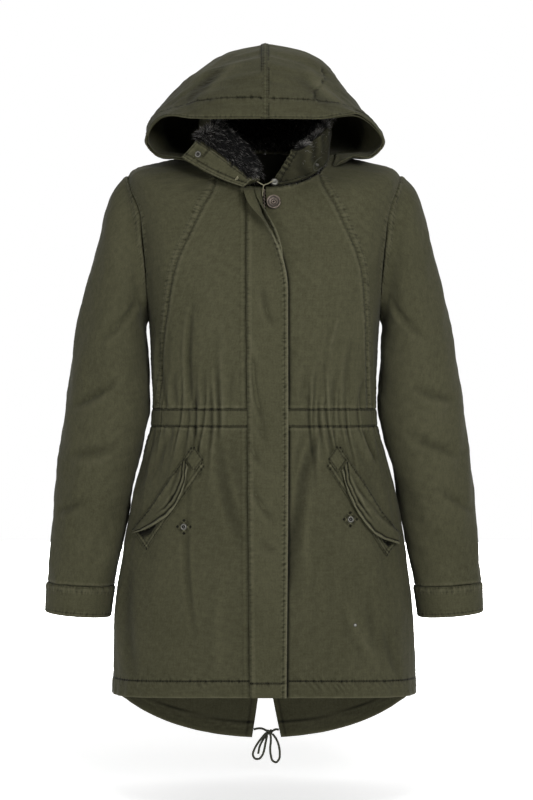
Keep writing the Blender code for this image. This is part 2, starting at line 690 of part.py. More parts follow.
def build_collar(cloth, pile):
    points = collar_grid(COLLAR_STATIONS, (0, 0.33, 0.67, 1))
    cloth_wall("collar", points, grid_normals(points), cloth, -CLOTH, 0.0)
    right = collar_grid((0.05, 0.5, 0.95), (0.01, 0.33, 0.67, 0.99))
    cloth_wall("collar_facing_right", right, grid_normals(right), cloth, *COLLAR_FACING_WALL)
    left = collar_grid((13.15, 13.55, 13.95), (0.01, 0.33, 0.67, 0.99))
    cloth_wall("collar_facing_left", left, grid_normals(left), cloth, *COLLAR_FACING_WALL)
    first, last = COLLAR_FUR_RANGE
    inside = [station for station in COLLAR_STATIONS if first < station < last]
    fur = collar_grid([first + 0.03] + inside + [last + 0.08], (0.06, 0.36, 0.68, 1.0))
    cloth_wall("collar_fur", fur, grid_normals(fur), pile, *COLLAR_FUR_WALL)


# ------------------------------------------------------------------------------------------------ pockets


def pocket_place(side_name, along, across):
    """x and z of a point of the pocket, by its share of the way down and its distance across."""
    sign = 1 if side_name == "left" else -1
    top, foot = POCKET_ENDS[side_name]
    x = top[0] + (foot[0] - top[0]) * along + POCKET_ACROSS[0] * across
    z = top[1] + (foot[1] - top[1]) * along + POCKET_ACROSS[1] * across
    return sign * x, z


def pocket_sheet(name, side_name, alongs, acrosses, lifts, material, inner, outer):
    x, z = pocket_place(side_name, np.asarray(alongs), np.asarray(acrosses))
    angle, level = front_place(x, z)
    points = torso(angle, level, lifts)
    return cloth_wall(name, points, torso_normal(angle, level), material, inner, outer)


def build_pocket(side_name, cloth):
    along, across = np.meshgrid(np.linspace(0, 1, 9), (0, 12, 24, POCKET_WIDTH), indexing="ij")
    flat = np.zeros_like(along)
    pocket_sheet("pocket_welt_" + side_name, side_name, along, across, flat, cloth, *POCKET_WELT_WALL)
    box_along, box_across = np.meshgrid((-0.03, 0.05, 0.13), (4, 16, 28), indexing="ij")
    flat = np.zeros_like(box_along)
    pocket_sheet("pocket_box_" + side_name, side_name, box_along, box_across, flat, cloth, *POCKET_BOX_WALL)
    table = np.array(POCKET_FLAPS[side_name])
    share = np.linspace(0.14, 0.98, 7)[:, None]
    reach, lift = np.moveaxis(smooth(table[:, 0], table[:, 1:], share), -1, 0)
    width = np.array([0.0, 0.35, 0.7, 1.0])[None, :]
    pocket_sheet(
        "pocket_flap_" + side_name, side_name, np.broadcast_to(share, (7, 4)), 2 + reach * width,
        POCKET_FLAP_OUT + lift * width**1.5, cloth, *POCKET_FLAP_WALL,
    )


def build_snap_patch(side_name, cloth):
    """The small square patch, on its point, that the pocket's snap is set through."""
    centre_x, centre_z = SNAP_PLACES[side_name]
    half = SNAP_PATCH / 2
    across, up = np.meshgrid((-half, 0, half), (-half, 0, half))
    turned = math.sqrt(0.5)
    x = centre_x + (across - up) * turned
    z = centre_z + (across + up) * turned
    cloth_wall("snap_patch_" + side_name, front_point(x, z), front_normal(x, z), cloth, *SNAP_PATCH_WALL)


# ----------------------------------------------------------------------------------------------- hardware

SNAP_PROFILE = ((0, 1.4), (1.6, 1.4), (2.4, 2.4), (3.8, 2.4), (4.8, 1.4), (5.0, 0))
BUTTON_PROFILE = ((0, 2.4), (2.2, 2.4), (3.4, 3.6), (8.6, 4.2), (10.6, 3.4), (11.0, 1.8), (10.4, 0))
STUD_PROFILE = ((0, 1.6), (1.6, 1.4), (2.6, 0.6), (2.7, 0))


def turned_piece(name, profile, place, normal, material, steps=20):
    """A turned piece that stands on a point of the cloth, facing along its normal."""
    mesh = bmesh.new()
    points = [mesh.verts.new((radius * MM, 0, height * MM)) for radius, height in profile]
    points.append(mesh.verts.new((0, 0, 0)))
    for start, end in zip(points, points[1:]):
        mesh.edges.new((start, end))
    data = bpy.data.meshes.new(name)
    mesh.to_mesh(data)
    mesh.free()
    piece = add_object(name, data, material)
    piece.location = Vector(place * MM)
    piece.rotation_mode = "QUATERNION"
    piece.rotation_quaternion = Vector(normal).to_track_quat("Z", "Y")
    turn = piece.modifiers.new("turn", "SCREW")
    turn.axis = "Z"
    turn.steps = steps
    turn.render_steps = steps
    turn.use_merge_vertices = True
    turn.merge_threshold = 0.00001
    return piece


def tube(name, points, diameter, material):
    """A round cord along a smooth curve through the points."""
    points = np.asarray(points, float)
    shares = arc_shares(points)
    count = max(6, int(np.linalg.norm(np.diff(points, axis=0), axis=1).sum() / (diameter * 1.9)))
    route = smooth(shares, points, np.linspace(0, 1, count))
    curve = bpy.data.curves.new(name, "CURVE")
    curve.dimensions = "3D"
    curve.bevel_depth = diameter * MM / 2
    curve.bevel_resolution = 2
    curve.use_fill_caps = True
    spline = curve.splines.new("POLY")
    spline.points.add(count - 1)
    for point, place in zip(spline.points, route):
        point.co = (*(place * MM), 1)
    return add_object(name, curve, material)


def build_hardware(metal):
    for name, place, profile, out in (
        ("front_button", BUTTON_PLACE, BUTTON_PROFILE, 0.3),
        ("skirt_stud", STUD_PLACE, STUD_PROFILE, 0.3),
        ("pocket_snap_right", SNAP_PLACES["right"], SNAP_PROFILE, 1.7),
        ("pocket_snap_left", SNAP_PLACES["left"], SNAP_PROFILE, 1.7),
    ):
        turned_piece(name, profile, front_point(*place, out), front_normal(*place), metal)
    facing = collar_grid((0.4, 0.5, 0.6), (0.8, 0.84, 0.88))
    normal = grid_normals(facing)[1, 1]
    turned_piece("collar_snap", SNAP_PROFILE, facing[1, 1] + normal * 2.3, normal, metal)


HOOD_BUTTON_PLACE = (11.7, 0.16)
HOOD_BUTTON_PROFILE = ((0, 3.0), (2.2, 2.8), (3.2, 1.9), (3.4, 0.9), (2.2, 0))
# The loop's middle line round the button, by how far it lies towards the front edge and how far up, in the
# collar's stations and heights.
HOOD_LOOP = (
    (-0.22, 0.12), (-0.08, 0.15), (0.1, 0.12), (0.18, 0.01), (0.15, -0.09), (0, -0.13), (-0.16, -0.13),
)
HOOD_LOOP_CORD = 1.8


def collar_outside(station, height, out):
    """A point this far off the collar's outer face, with the way out."""
    grid = collar_grid(station + np.array((-0.05, 0, 0.05)), height + np.array((-0.02, 0, 0.02)))
    outward = -grid_normals(grid)[1, 1]
    return grid[1, 1] + outward * (CLOTH + out), outward


def build_hood_fastening(metal, cord):
    """The small button at the left of the neck, and the loop that buttons the hood's corner to it."""
    station, height = HOOD_BUTTON_PLACE
    face, outward = collar_outside(station, height, SEAM_GAP)
    turned_piece("hood_button", HOOD_BUTTON_PROFILE, face, outward, metal, 16)
    off = SEAM_GAP + HOOD_LOOP_CORD / 2 + 0.4
    route = [collar_outside(station + along, height + up, off)[0] for along, up in HOOD_LOOP]
    tube("hood_loop", route, HOOD_LOOP_CORD, cord)


KNOT_RINGS = 8


def build_drawcord(cord):
    for name, (behind, strand) in CORD_STRANDS.items():
        tube(name, [(x, CORD_Y + behind, z) for x, z in strand], CORD, cord)
    mesh = bmesh.new()
    bmesh.ops.create_uvsphere(mesh, u_segments=12, v_segments=KNOT_RINGS, radius=1.0)
    for corner in mesh.verts:
        corner.co = Vector([length * MM * share for length, share in zip(KNOT_SIZE, corner.co)])
    data = bpy.data.meshes.new("cord_knot")
    mesh.to_mesh(data)
    mesh.free()
    knot = add_object("cord_knot", data, cord)
    knot.location = (KNOT_PLACE[0] * MM, CORD_Y * MM, KNOT_PLACE[1] * MM)


def main():
    clear_scene()
    collection = bpy.data.collections.new(COLLECTION)
    bpy.context.scene.collection.children.link(collection)
    made = {name: make_material(name) for name in MATERIALS}
    cloth = made["olive_cloth"]
    build_bodice(cloth)
    build_waist_casing(cloth)
    build_skirt(cloth)
    build_flaps(cloth)
    build_zip(made["zip_tape"], made["aged_metal"])
    for name, side in (("right", -1), ("left", 1)):
        build_sleeve("sleeve_" + name, side, cloth)
        build_cuff("cuff_" + name, side, cloth)
        build_pocket(name, cloth)
        build_snap_patch(name, cloth)
    build_hood(cloth)
    build_collar(cloth, made["dark_pile"])
    build_hardware(made["aged_metal"])
    build_hood_fastening(made["aged_metal"], made["braided_cord"])
    build_drawcord(made["braided_cord"])


main()
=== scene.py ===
"""Looks of the hooded parka: the same cuts as the model's solids, in fine cloth with its folds, seams and
stitches, its pile, drawcord and metal, on a pale floor in soft studio light.

The tables hold millimetres and degrees, and the meshes are built in metres. +X is the wearer's left, -Y the
front and +Z up. Every panel is a grid of points on the body skin, the sleeves, the hood or the collar. Its
relief moves the points along their normals, and the cloth's other face lies one cloth thickness inside. Its
tone and shading make a place paler, or darker below nought: real wear and tone, painted shade in grooves,
creases, puckers and recesses, and painted highlights on ridges and some folded edges.
"""

import math

import bpy
import numpy as np
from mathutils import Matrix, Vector


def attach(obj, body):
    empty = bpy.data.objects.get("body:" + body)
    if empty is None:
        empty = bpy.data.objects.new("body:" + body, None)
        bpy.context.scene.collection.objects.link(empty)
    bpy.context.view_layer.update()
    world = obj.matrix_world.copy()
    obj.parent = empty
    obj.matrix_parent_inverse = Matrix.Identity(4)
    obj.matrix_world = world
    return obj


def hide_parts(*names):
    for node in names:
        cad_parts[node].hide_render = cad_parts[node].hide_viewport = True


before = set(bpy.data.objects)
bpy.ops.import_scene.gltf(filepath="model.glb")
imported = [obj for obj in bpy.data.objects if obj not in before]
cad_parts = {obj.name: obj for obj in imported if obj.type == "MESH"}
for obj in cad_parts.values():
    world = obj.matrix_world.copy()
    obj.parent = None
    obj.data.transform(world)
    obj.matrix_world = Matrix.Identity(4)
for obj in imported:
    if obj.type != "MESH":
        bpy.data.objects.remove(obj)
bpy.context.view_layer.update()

MM = 0.001
SEAM_GAP = 0.3
CLOTH = 2.0
CENTRE_X = -1.5
SQUARENESS = 0.05
HEM, BAND_LOW, BAND_TOP, UNDERARM, SHOULDER_TIP, NECK = 0, 5, 6, 8, 11, 13
# Spacing of the points: on small pieces, across and up the body, on large pieces, and beside the seams.
FRONT_STEP, ACROSS_STEP, UP_STEP, GRID_STEP, SEAM_STEP = 2.7, 2.1, 3.8, 3.1, 1.1
BACK_SHARE = 1.5
SEAM_REACH = 10
INNER_STEP = 3
SIDES, ENDS = ("left", "right"), ("low", "top")

# The body skin. Columns: level, half width, depth in front of and behind the side seam, height at the front
# centre, the sides and the back centre, and how sharply the height turns from centre to side, in front and
# behind.
TORSO = np.array([
    (0, 234, 134, 128, -794.5, -803.5, -897, 1.5, 1.75),
    (1, 230, 131, 124, -694, -696, -742, 2.0, 1.5),
    (2, 219, 127, 118, -600, -601, -620, 2.0, 2.0),
    (3, 203, 121, 111, -505, -506, -512, 2.0, 2.0),
    (4, 187, 113, 103, -440, -440, -442, 2.0, 2.0),
    (5, 174, 106, 96, -393, -393, -393, 2.0, 2.0),
    (6, 171.5, 105, 95, -366, -366, -366, 2.0, 2.0),
    (7, 174, 112, 103, -300, -300, -300, 2.0, 2.0),
    (8, 178, 118, 111, -225, -225, -225, 2.0, 2.0),
    (9, 190, 119, 113, -150, -148, -150, 2.0, 2.0),
    (10, 204, 116, 112, -92, -70, -80, 2.0, 2.0),
    (11, 208, 113, 106, -66, -5, -28, 2.0, 2.0),
    (12, 160, 109, 94, -48, 15, 12, 1.6, 2.0),
    (13, 98, 105, 78, -33, 27, 38, 1.15, 2.0),
], float)

# Broad folds of the body cloth: angle round the body, the two levels that each runs between, its width in
# degrees and its depth, where a negative depth is a trough.
BODY_FOLDS = (
    (-36, 4.9, 8.6, 9, -3.0), (-28, 3.0, 7.2, 8, 2.5), (38, 4.6, 7.6, 9, -2.5), (52, 1.4, 5.0, 11, -4.0),
    (-50, 1.0, 4.8, 12, -3.0), (22, 0.2, 4.6, 12, 3.0), (-18, 0.2, 4.4, 13, 3.0), (76, 0.2, 4.8, 12, 4.0),
    (-74, 0.4, 4.8, 12, 4.0), (112, 0.4, 4.9, 13, -4.0), (-110, 0.2, 4.9, 12, -4.5),
    (140, 0.6, 5.0, 13, 4.0), (-136, 0.8, 5.0, 12, 3.5), (160, 4.8, 8.0, 10, -3.0),
    (-164, 4.8, 7.6, 11, -2.5), (-126, 5.0, 7.8, 10, 2.5), (128, 5.0, 7.4, 10, 2.0),
)

# The princess seams, by their distance from the front centre, and the armhole's edge, by its angle.
PRINCESS = np.array([
    (6, 157.5, 162), (7, 154.5, 158), (8, 151.5, 149), (9, 144, 134),
    (10, 118, 106), (11, 103, 91), (12, 91, 80), (13, 82, 74),
], float)
ARMHOLE = np.array([
    (8, 90), (8.25, 79), (8.6, 72), (9.1, 67.5), (9.6, 64), (10.1, 62.5), (10.5, 67), (10.8, 77), (11, 90),
], float)

# The storm flap and the fly layer under it. Columns: height, x of the seam line, width, and how far it rolls
# open in radians.
FLAP_OUTER = np.array([
    (-802, -22.5, 54, 0.04), (-400, -26.5, 61, 0.04), (-240, -28, 62, 0.05), (-215, -28, 62, 0.06),
    (-183, -28, 62, 0.22),
    (-156, -28, 62, 0.66), (-118, -28, 62, 1.34), (-93, -28, 62, 1.93), (-78, -28, 61, 2.45),
    (-67, -28, 60, 2.85), (-55, -28, 58, 3.15), (-40, -28, 56, 3.4),
], float)
FLAP_UNDER = np.array([
    (-802, -21.5, 46, 0.03), (-400, -25.5, 53, 0.03), (-215, -27, 54, 0.03), (-183, -27, 54, 0.06),
    (-136, -27, 54, 0.3), (-118, -27, 54, 0.7), (-88, -27, 54, 1.45), (-72, -27, 54, 1.95),
    (-61, -27, 52, 2.2), (-51, -27, 51, 2.4), (-40, -27, 50, 2.5),
], float)
FLAP_LIFT_SHARE = 0.55

# Sleeve rings past the armhole, as distances from the centre plane: the point furthest from the body, the
# point nearest to it, half the depth from front to back, and the middle's y.
SLEEVE = np.array([
    (219, -10, 183, -236, 60, 2), (234, -28, 183.5, -240, 65, 2), (245.5, -56, 183, -246, 68, 2),
    (257, -105, 182, -255, 70, 1), (270.5, -158, 180.5, -267, 71, 0), (287, -228, 179, -290, 71, -2),
    (299, -300, 177, -330, 71, -4), (307.5, -358, 176.5, -368, 70, -5), (314, -410, 185, -412, 68, -6),
    (321, -465, 198, -465, 65, -8), (328, -540, 213, -542, 60, -10), (334.5, -632, 231.5, -638, 53, -12),
], float)
CUFF = np.array([
    (334.6, -632.4, 231.4, -638.4, 53.2, -12), (336.5, -656, 234, -663, 53.5, -12),
    (337, -678, 237.5, -686, 53, -12),
], float)

# The hood: one row for each arch from the face opening (0) to the centre-back seam (1). Each arch starts on
# the neck seam, at this angle round the neck, and has six more points: over the shoulder, past the widest
# place and up to the crown on the centre plane.
HOOD_KEYS = np.array([0, 0.12, 0.32, 0.5, 0.68, 0.84, 1.0])
HOOD_NECK_ANGLES = np.array([64, 70, 86, 104, 128, 154, 180], float)
HOOD_ARCH_KEYS = np.array([0, 0.13, 0.29, 0.43, 0.62, 0.82, 1.0])
HOOD_ARCHES = np.array([
    [(126, -77, 10), (165, -66, 17), (182, -62, 41), (149, -96, 75), (82, -138, 65), (0, -150, 63)],
    [(130, -48, 15), (166, -36, 23), (182, -32, 50), (152, -62, 86), (80, -124, 90), (0, -138, 97)],
    [(136, -10, 28), (165, 0, 35), (174, -2, 68), (147, -20, 106), (80, -66, 147), (0, -92, 158)],
    [(128, 30, 31), (150, 36, 42), (159, 30, 78), (126, 8, 136), (66, -6, 181), (0, -12, 198)],
    [(110, 68, 38), (136, 80, 52), (145, 82, 88), (112, 70, 140), (58, 58, 180), (0, 56, 193)],
    [(64, 98, 44), (86, 113, 60), (91, 122, 92), (76, 120, 126), (40, 116, 150), (0, 112, 158)],
    [(0, 104, 46), (0, 128, 62), (0, 142, 90), (0, 146, 105), (0, 145, 114), (0, 142, 122)],
], float)
# How much further from the centre plane the hood's right half stands than its left, by height.
HOOD_LEAN = np.array([
    (0, 0), (41, 0), (75, 0.034), (106, 0.047), (139, 0.05), (170, -0.035), (200, 0),
], float)

# The collar's inner face, by stations from the wearer's right front edge, round the back, to the left front
# edge. Each has its foot and three points more, up to the top edge. The right front lies rolled open, so its
# first feet are places of their own, and the others follow the neck seam at these angles.
COLLAR_HEIGHTS = np.array([0, 0.33, 0.67, 1.0])
COLLAR_OPEN_FEET = np.array([(-32, -127, -36), (-19, -131, -26), (-8, -122, -25)], float)
COLLAR_NECK_ANGLES = -np.array([12, 38, 66, 108, 145, 180, 215, 252, 294, 320, 342, 355], float)
COLLAR = np.array([
    [(-62, -119, -25), (-94, -112, -9), (-126, -104, 11)],
    [(-46, -126, -4), (-73, -118, 17), (-101, -109, 37)],
    [(-18, -117, 7), (-42, -106, 35), (-76, -93, 62)],
    [(-34, -96, 6), (-56, -78, 42), (-80, -66, 72)],
    [(-66, -74, 18), (-74, -62, 52), (-86, -52, 82)],
    [(-95, -37, 38), (-96, -34, 68), (-96, -31, 96)],
    [(-95, 25, 60), (-95, 26, 88), (-95, 27, 114)],
    [(-59, 68, 68), (-60, 72, 96), (-61, 76, 122)],
    [(0, 83, 70), (0, 88, 98), (0, 92, 124)],
    [(59, 68, 68), (60, 72, 96), (61, 76, 122)],
    [(94, 25, 58), (95, 26, 84), (96, 27, 108)],
    [(95, -36, 34), (98, -34, 58), (101, -32, 80)],
    [(69, -74, 4), (74, -68, 27), (80, -62, 50)],
    [(38, -93, -10), (47, -88, 9), (56, -81, 28)],
    [(16, -103, -17), (28, -101, 2), (40, -96, 24)],
], float)
COLLAR_FOOT_LIFT = 2.2

# The slanted pockets, measured flat on the front: top and foot of the sewn edge, and width of the patch.
POCKET_ENDS = {"right": ((110, -423), (200, -549)), "left": ((112, -422), (205, -559))}
POCKET_ACROSS = (-0.57, -0.82)
POCKET_WIDTH = 36.0
# Columns of the pocket flaps: share of the way down the pocket, how far the flap reaches and stands off.
POCKET_FLAPS = {
    "right": ((0.14, 15, 2.5), (0.32, 30, 5.0), (0.55, 34, 4.0), (0.75, 26, 7.0), (0.98, 9, 8.0)),
    "left": ((0.14, 20, 3.0), (0.32, 32, 4.0), (0.55, 37, 3.5), (0.75, 34, 5.0), (0.98, 16, 8.0)),
}
SNAP_PLACES = {"right": (-121, -542), "left": (127, -531)}
SNAP_PATCH = 17.0
STUD_PLACE = (134, -688)
BUTTON_PLACE = (12.5, -57)

CORD = 3.6
CORD_Y = 127.0
CORD_STEP = 0.8
# The drawcord's strands at the vent, as x and z of their points: two from the hem channel to the knot, the
# two loops of the bow, and the free end, which stands this far behind the others.
CORD_STRANDS = {
    "cord_tie_right": (0, ((-18.8, -884), (-12, -882.4), (-5, -882.6), (1.3, -885.6))),
    "cord_tie_left": (0, ((22, -884.4), (17.4, -883.8), (14.6, -884.7), (12.1, -886.2))),
    "cord_loop_right": (0, (
        (1.2, -890.2), (-5, -897), (-12, -906), (-18, -917), (-20, -925), (-16.5, -931), (-10.5, -931.5),
        (-5, -926), (-2, -918), (0, -908), (3, -893.6),
    )),
    "cord_loop_left": (0, (
        (8.4, -893), (9, -902), (8, -914), (9, -926), (12, -934.5), (17.4, -937), (22.2, -932),
        (23.4, -923), (22, -911), (18, -900), (11.9, -891.2),
    )),
    "cord_end": (4.0, ((2, -893.5), (-4, -902), (-9, -912), (-11.4, -924))),
}
KNOT_PLACE = (6.8, -888.2)
KNOT_SIZE = (5.6, 4.6, 4.6)


def smooth(keys, values, at):
    """The values at any keys, on a cubic curve through the rows."""
    keys, values = np.asarray(keys, float), np.asarray(values, float)
    at = np.clip(np.asarray(at, float), keys[0], keys[-1])
    slopes = np.gradient(values, keys, axis=0)
    low = np.clip(np.searchsorted(keys, at, side="right") - 1, 0, len(keys) - 2)
    spread = at.shape + (1,) * (values.ndim - 1)
    step = (keys[low + 1] - keys[low]).reshape(spread)
    share = (at - keys[low]).reshape(spread) / step
    rest = 1 - share
    ends = (1 + 2 * share) * rest**2 * values[low] + share**2 * (3 - 2 * share) * values[low + 1]
    return ends + share * rest * step * (rest * slopes[low] - share * slopes[low + 1])


def rows_at(table, at):
    """The columns of a table at any values of its first column."""
    table = np.asarray(table, float)
    return np.moveaxis(smooth(table[:, 0], table[:, 1:], at), -1, 0)


def unit(vectors):
    return vectors / np.maximum(np.linalg.norm(vectors, axis=-1, keepdims=True), 1e-9)


def run(points, axis=0):
    """How far each point lies along its line of points."""
    steps = np.linalg.norm(np.diff(points, axis=axis), axis=-1)
    return np.concatenate([0 * steps.take([0], axis), np.cumsum(steps, axis=axis)], axis=axis)


def bell(distance, width, power=2):
    """1 on a line, and next to nothing beyond twice this width from it."""
    return np.exp(-((distance / width) ** power))


# -------------------- body skin


def ring_side(theta):
    return (np.sin(theta) + SQUARENESS * np.sin(3 * theta)) / (1 - SQUARENESS)


def ring_depth(theta):
    return (np.cos(theta) - SQUARENESS * np.cos(3 * theta)) / (1 - SQUARENESS)


def plain_torso(angle, level):
    """The body skin without folds. Angle 0 is the front centre and 90 the wearer's left side."""
    angle, level = np.broadcast_arrays(np.asarray(angle, float), np.asarray(level, float))
    theta = np.radians(angle)
    half_width, front, back, z_front, z_side, z_back, front_power, back_power = rows_at(TORSO, level)
    in_front = np.cos(theta) > 0
    power = np.where(in_front, front_power, back_power)
    x = CENTRE_X + half_width * ring_side(theta)
    y = -np.where(in_front, front, back) * ring_depth(theta)
    z = z_side + (np.where(in_front, z_front, z_back) - z_side) * np.abs(np.cos(theta)) ** power
    return np.stack([x, y, z], axis=-1)


def torso_normal(angle, level):
    across = plain_torso(np.asarray(angle) + 0.5, level) - plain_torso(np.asarray(angle) - 0.5, level)
    low = np.clip(np.asarray(level, float) - 0.03, HEM, NECK - 0.06)
    return unit(np.cross(across, plain_torso(angle, low + 0.06) - plain_torso(angle, low)))


def fold_depth(angle, level):
    """How far the folds move the body skin out."""
    total = np.zeros(np.broadcast(angle, level).shape)
    for centre, low, high, width, depth in BODY_FOLDS:
        away = (np.asarray(angle, float) - centre + 180) % 360 - 180
        across = np.cos(np.clip(away / width, -1, 1) * math.pi / 2) ** 2
        along = np.clip((np.asarray(level, float) - low) / (high - low), 0, 1)
        total = total + depth * across * np.sin(math.pi * along) ** 0.7
    return total


def torso(angle, level, out=0.0):
    """The body skin with its folds, this far out."""
    move = fold_depth(angle, level) + out
    return plain_torso(angle, level) + torso_normal(angle, level) * np.asarray(move)[..., None]


FINE_ANGLES = np.linspace(-90, 90, 361)
FINE_SIDES = ring_side(np.radians(FINE_ANGLES))


def angle_at(x, level):
    """The angle at which the front half of the skin has this x."""
    half_width = smooth(TORSO[:, 0], TORSO[:, 1], level)
    return np.interp((np.asarray(x, float) - CENTRE_X) / half_width, FINE_SIDES, FINE_ANGLES)


def front_place(x, z):
    """Angle and level of the point of the front that has this x and this height."""
    x, z = np.broadcast_arrays(np.asarray(x, float), np.asarray(z, float))
    level = np.interp(z, TORSO[:, 4], TORSO[:, 0])
    for _ in range(6):
        angle = angle_at(x, level)
        here = plain_torso(angle, level)[..., 2]
        slope = (plain_torso(angle, np.minimum(level + 0.01, NECK))[..., 2] - here) / 0.01
        level = np.clip(level + (z - here) / np.maximum(slope, 5.0), HEM, NECK)
    return angle_at(x, level), level


def on_front(x, z, out=0.0):
    """The points of the front at these places, this far out, and their normals."""
    angle, level = front_place(x, z)
    return torso(angle, level, out), torso_normal(angle, level)


def grid_normals(points, wrap=False):
    """Normals of a grid of points, on the side from which its rows go up and its columns go right."""
    if wrap:
        across = np.roll(points, -1, axis=1) - np.roll(points, 1, axis=1)
    else:
        across = np.gradient(points, axis=1)
    return unit(np.cross(across, np.gradient(points, axis=0)))


# -------------------- relief of cloth


def soft_step(values, low, high):
    """0 below the lower limit, 1 above the higher one, and a smooth rise between them."""
    share = np.clip((values - low) / (high - low), 0, 1)
    return share * share * (3 - 2 * share)


def waves(u, v, size, seed, octaves=2):
    """A smooth uneven field of about unit size, whose bumps are this many millimetres apart."""
    random = np.random.default_rng(seed)
    total = np.zeros(np.broadcast(u, v).shape)
    for octave in range(octaves):
        for _ in range(9):
            turn, phase = random.uniform(0, 2 * math.pi, 2)
            pitch = size / 1.9**octave * random.uniform(0.7, 1.5)
            way = u * math.cos(turn) + v * math.sin(turn)
            total += 0.6**octave * np.sin(2 * math.pi * way / pitch + phase)
    return total / 3.0


def ripple(along, pitch, seed):
    """Uneven ripples along a seam."""
    drift = waves(along, 0 * along, pitch * 6, seed, 1)
    size = 0.65 + 0.35 * waves(along, 0 * along, pitch * 4, seed + 1, 1)
    return size * np.sin(2 * math.pi * along / pitch + 2.2 * drift)


def creases(u, v, table):
    """Soft creases, each from one point to another with its width and depth, and a lip along one side."""
    total = np.zeros(np.broadcast(u, v).shape)
    for u0, v0, u1, v1, width, depth in table:
        du, dv = u1 - u0, v1 - v0
        length = math.hypot(du, dv)
        inside = np.clip(((u - u0) * du + (v - v0) * dv) / length**2, 0, 1)
        bow = 0.05 * length * np.sin(math.pi * inside)
        across = ((u - u0) * dv - (v - v0) * du) / length - bow
        lip = bell(across - 1.8 * width, width)
        total += depth * np.sin(math.pi * inside) ** 0.7 * (bell(across, width) - 0.5 * lip)
    return total


def seam_spacing(length, step, reach=(SEAM_REACH, SEAM_REACH)):
    """Positions along a length at about this step, and closer together as far as this from each end."""
    fine = np.linspace(0, length, 3000)
    away = np.minimum(fine - reach[0], length - fine - reach[1])
    pace = SEAM_STEP + (step - SEAM_STEP) * soft_step(away, 0, 9)
    count = np.concatenate([[0], np.cumsum((fine[1] - fine[0]) / pace[1:])])
    return np.interp(np.linspace(0, count[-1], max(5, int(count[-1]) + 2)), count, fine)


def seam_shares(line, step, reach=(SEAM_REACH, SEAM_REACH)):
    """Shares of the way along a line of points, at about this step, and closer near its ends."""
    lengths = run(line)
    return np.interp(seam_spacing(lengths[-1], step, reach), lengths, np.linspace(0, 1, len(line)))


class Panel:
    """A grid of points with its normals, relief, tone with painted shading, and each point's distance from
    the four edges.
    """

    def __init__(self, points, normals=None, wrap=False):
        self.points = points
        self.normals = grid_normals(points) if normals is None else normals
        self.wrap = wrap
        self.x, self.y, self.z = np.moveaxis(points, -1, 0)
        self.left, self.low = run(points, 1), run(points, 0)
        self.right, self.top = self.left[:, -1:] - self.left, self.low[-1:] - self.low
        self.relief, self.wear, side_ladder, end_ladder = np.zeros((4, *points.shape[:2]))
        self.ladders = {"side": side_ladder, "end": end_ladder}
        self.rows = []

    def edge(self, name):
        """Distance from an edge, and distance along it."""
        return getattr(self, name), self.low if name in SIDES else self.left

    def cut(self):
        """The flat cut: width, length and area, in metres and square metres."""
        points = np.concatenate([self.points, self.points[:, :1]], axis=1) if self.wrap else self.points
        corner, far = points[:-1, :-1], points[1:, 1:]
        area = 0
        for beside in (points[:-1, 1:], points[1:, :-1]):
            area += np.linalg.norm(np.cross(beside - corner, far - corner), axis=2).sum() / 2
        return run(points, 1)[:, -1].max() * MM, run(points)[-1].max() * MM, area * MM**2


def add_line(panel, away, way, ladder, dark):
    """A sewn line, by each point's distance from it: its groove, its dark line of painted shade and the
    puckers beside it.
    """
    panel.relief -= 0.5 * bell(away, 1.2)
    # Painted shade along the groove.
    panel.wear -= 1.5 * dark * bell(away, 1.0)
    held = panel.ladders[way]
    np.maximum(held, ladder * bell(away, 3.6), out=held)


def add_row(panel, edge, distance, ladder=1.0, dark=0.6):
    """A row of stitches at this distance from an edge, with its thread."""
    add_line(panel, panel.edge(edge)[0] - distance, "side" if edge in SIDES else "end", ladder, dark)
    panel.rows.append((edge, distance))


# Kinds of seam: the rows of stitches beside it, width and height of the seam allowance, how strongly it
# puckers, how far its ripples reach, and how dark the painted shade along its line is.
SEAMS = {
    "plain": ((2.4,), 8.0, 0.3, 0.6, 11, 0.4),
    "felled": ((2.4, 8.8), 10.5, 0.7, 1.0, 15, 0.16),
    "gathered": ((), 5.0, 0.2, 0.6, 20, 0.4),
    "folded": ((5.6,), 7.5, 0.4, 1.0, 9, 0.6),
    "turned": ((2.2,), 5.0, 0.3, 0.7, 6, 0.7),
    "line": ((), 4.0, 0.0, 0.2, 6, 0.6),
}


def add_seam(panel, edge, kind, seed):
    """A sewn edge: its groove, dark with painted shade, its raised seam allowance, the ripples beside it,
    and its worn ridge.
    """
    rows, band, raised, ladder, reach, dark = SEAMS[kind]
    away, along = panel.edge(edge)
    rippled = ripple(along, 8.5, seed) * bell(away, reach, 1.5)
    inside = soft_step(away, 0.8, 2.6) * (1 - soft_step(away, band - 0.8, band + 1.4))
    panel.relief += raised * inside + 0.4 * ladder * rippled * soft_step(away, 0, 3)
    panel.relief -= 0.6 * bell(away, 1.2)
    # Paler on the worn allowance, painted light and shade on the ripples, and painted shade along the
    # groove.
    panel.wear += (0.22 + 0.18 * rippled) * inside - dark * bell(away, 1.0)
    for distance in rows:
        add_row(panel, edge, distance, ladder, 0.7 * dark)


# -------------------- making pieces

STITCHES = {}
STITCH, STITCH_GAP, THREAD_WIDTH, THREAD_SUNK = 2.6, 1.3, 0.7, 0.1
THREAD_FACES = np.array([
    (0, 2, 3), (0, 3, 4), (0, 4, 5), (0, 5, 2), (1, 3, 2), (1, 4, 3), (1, 5, 4), (1, 2, 5),
])


def place_object(name, data):
    thing = bpy.data.objects.new(name, data)
    bpy.context.scene.collection.objects.link(thing)
    return thing


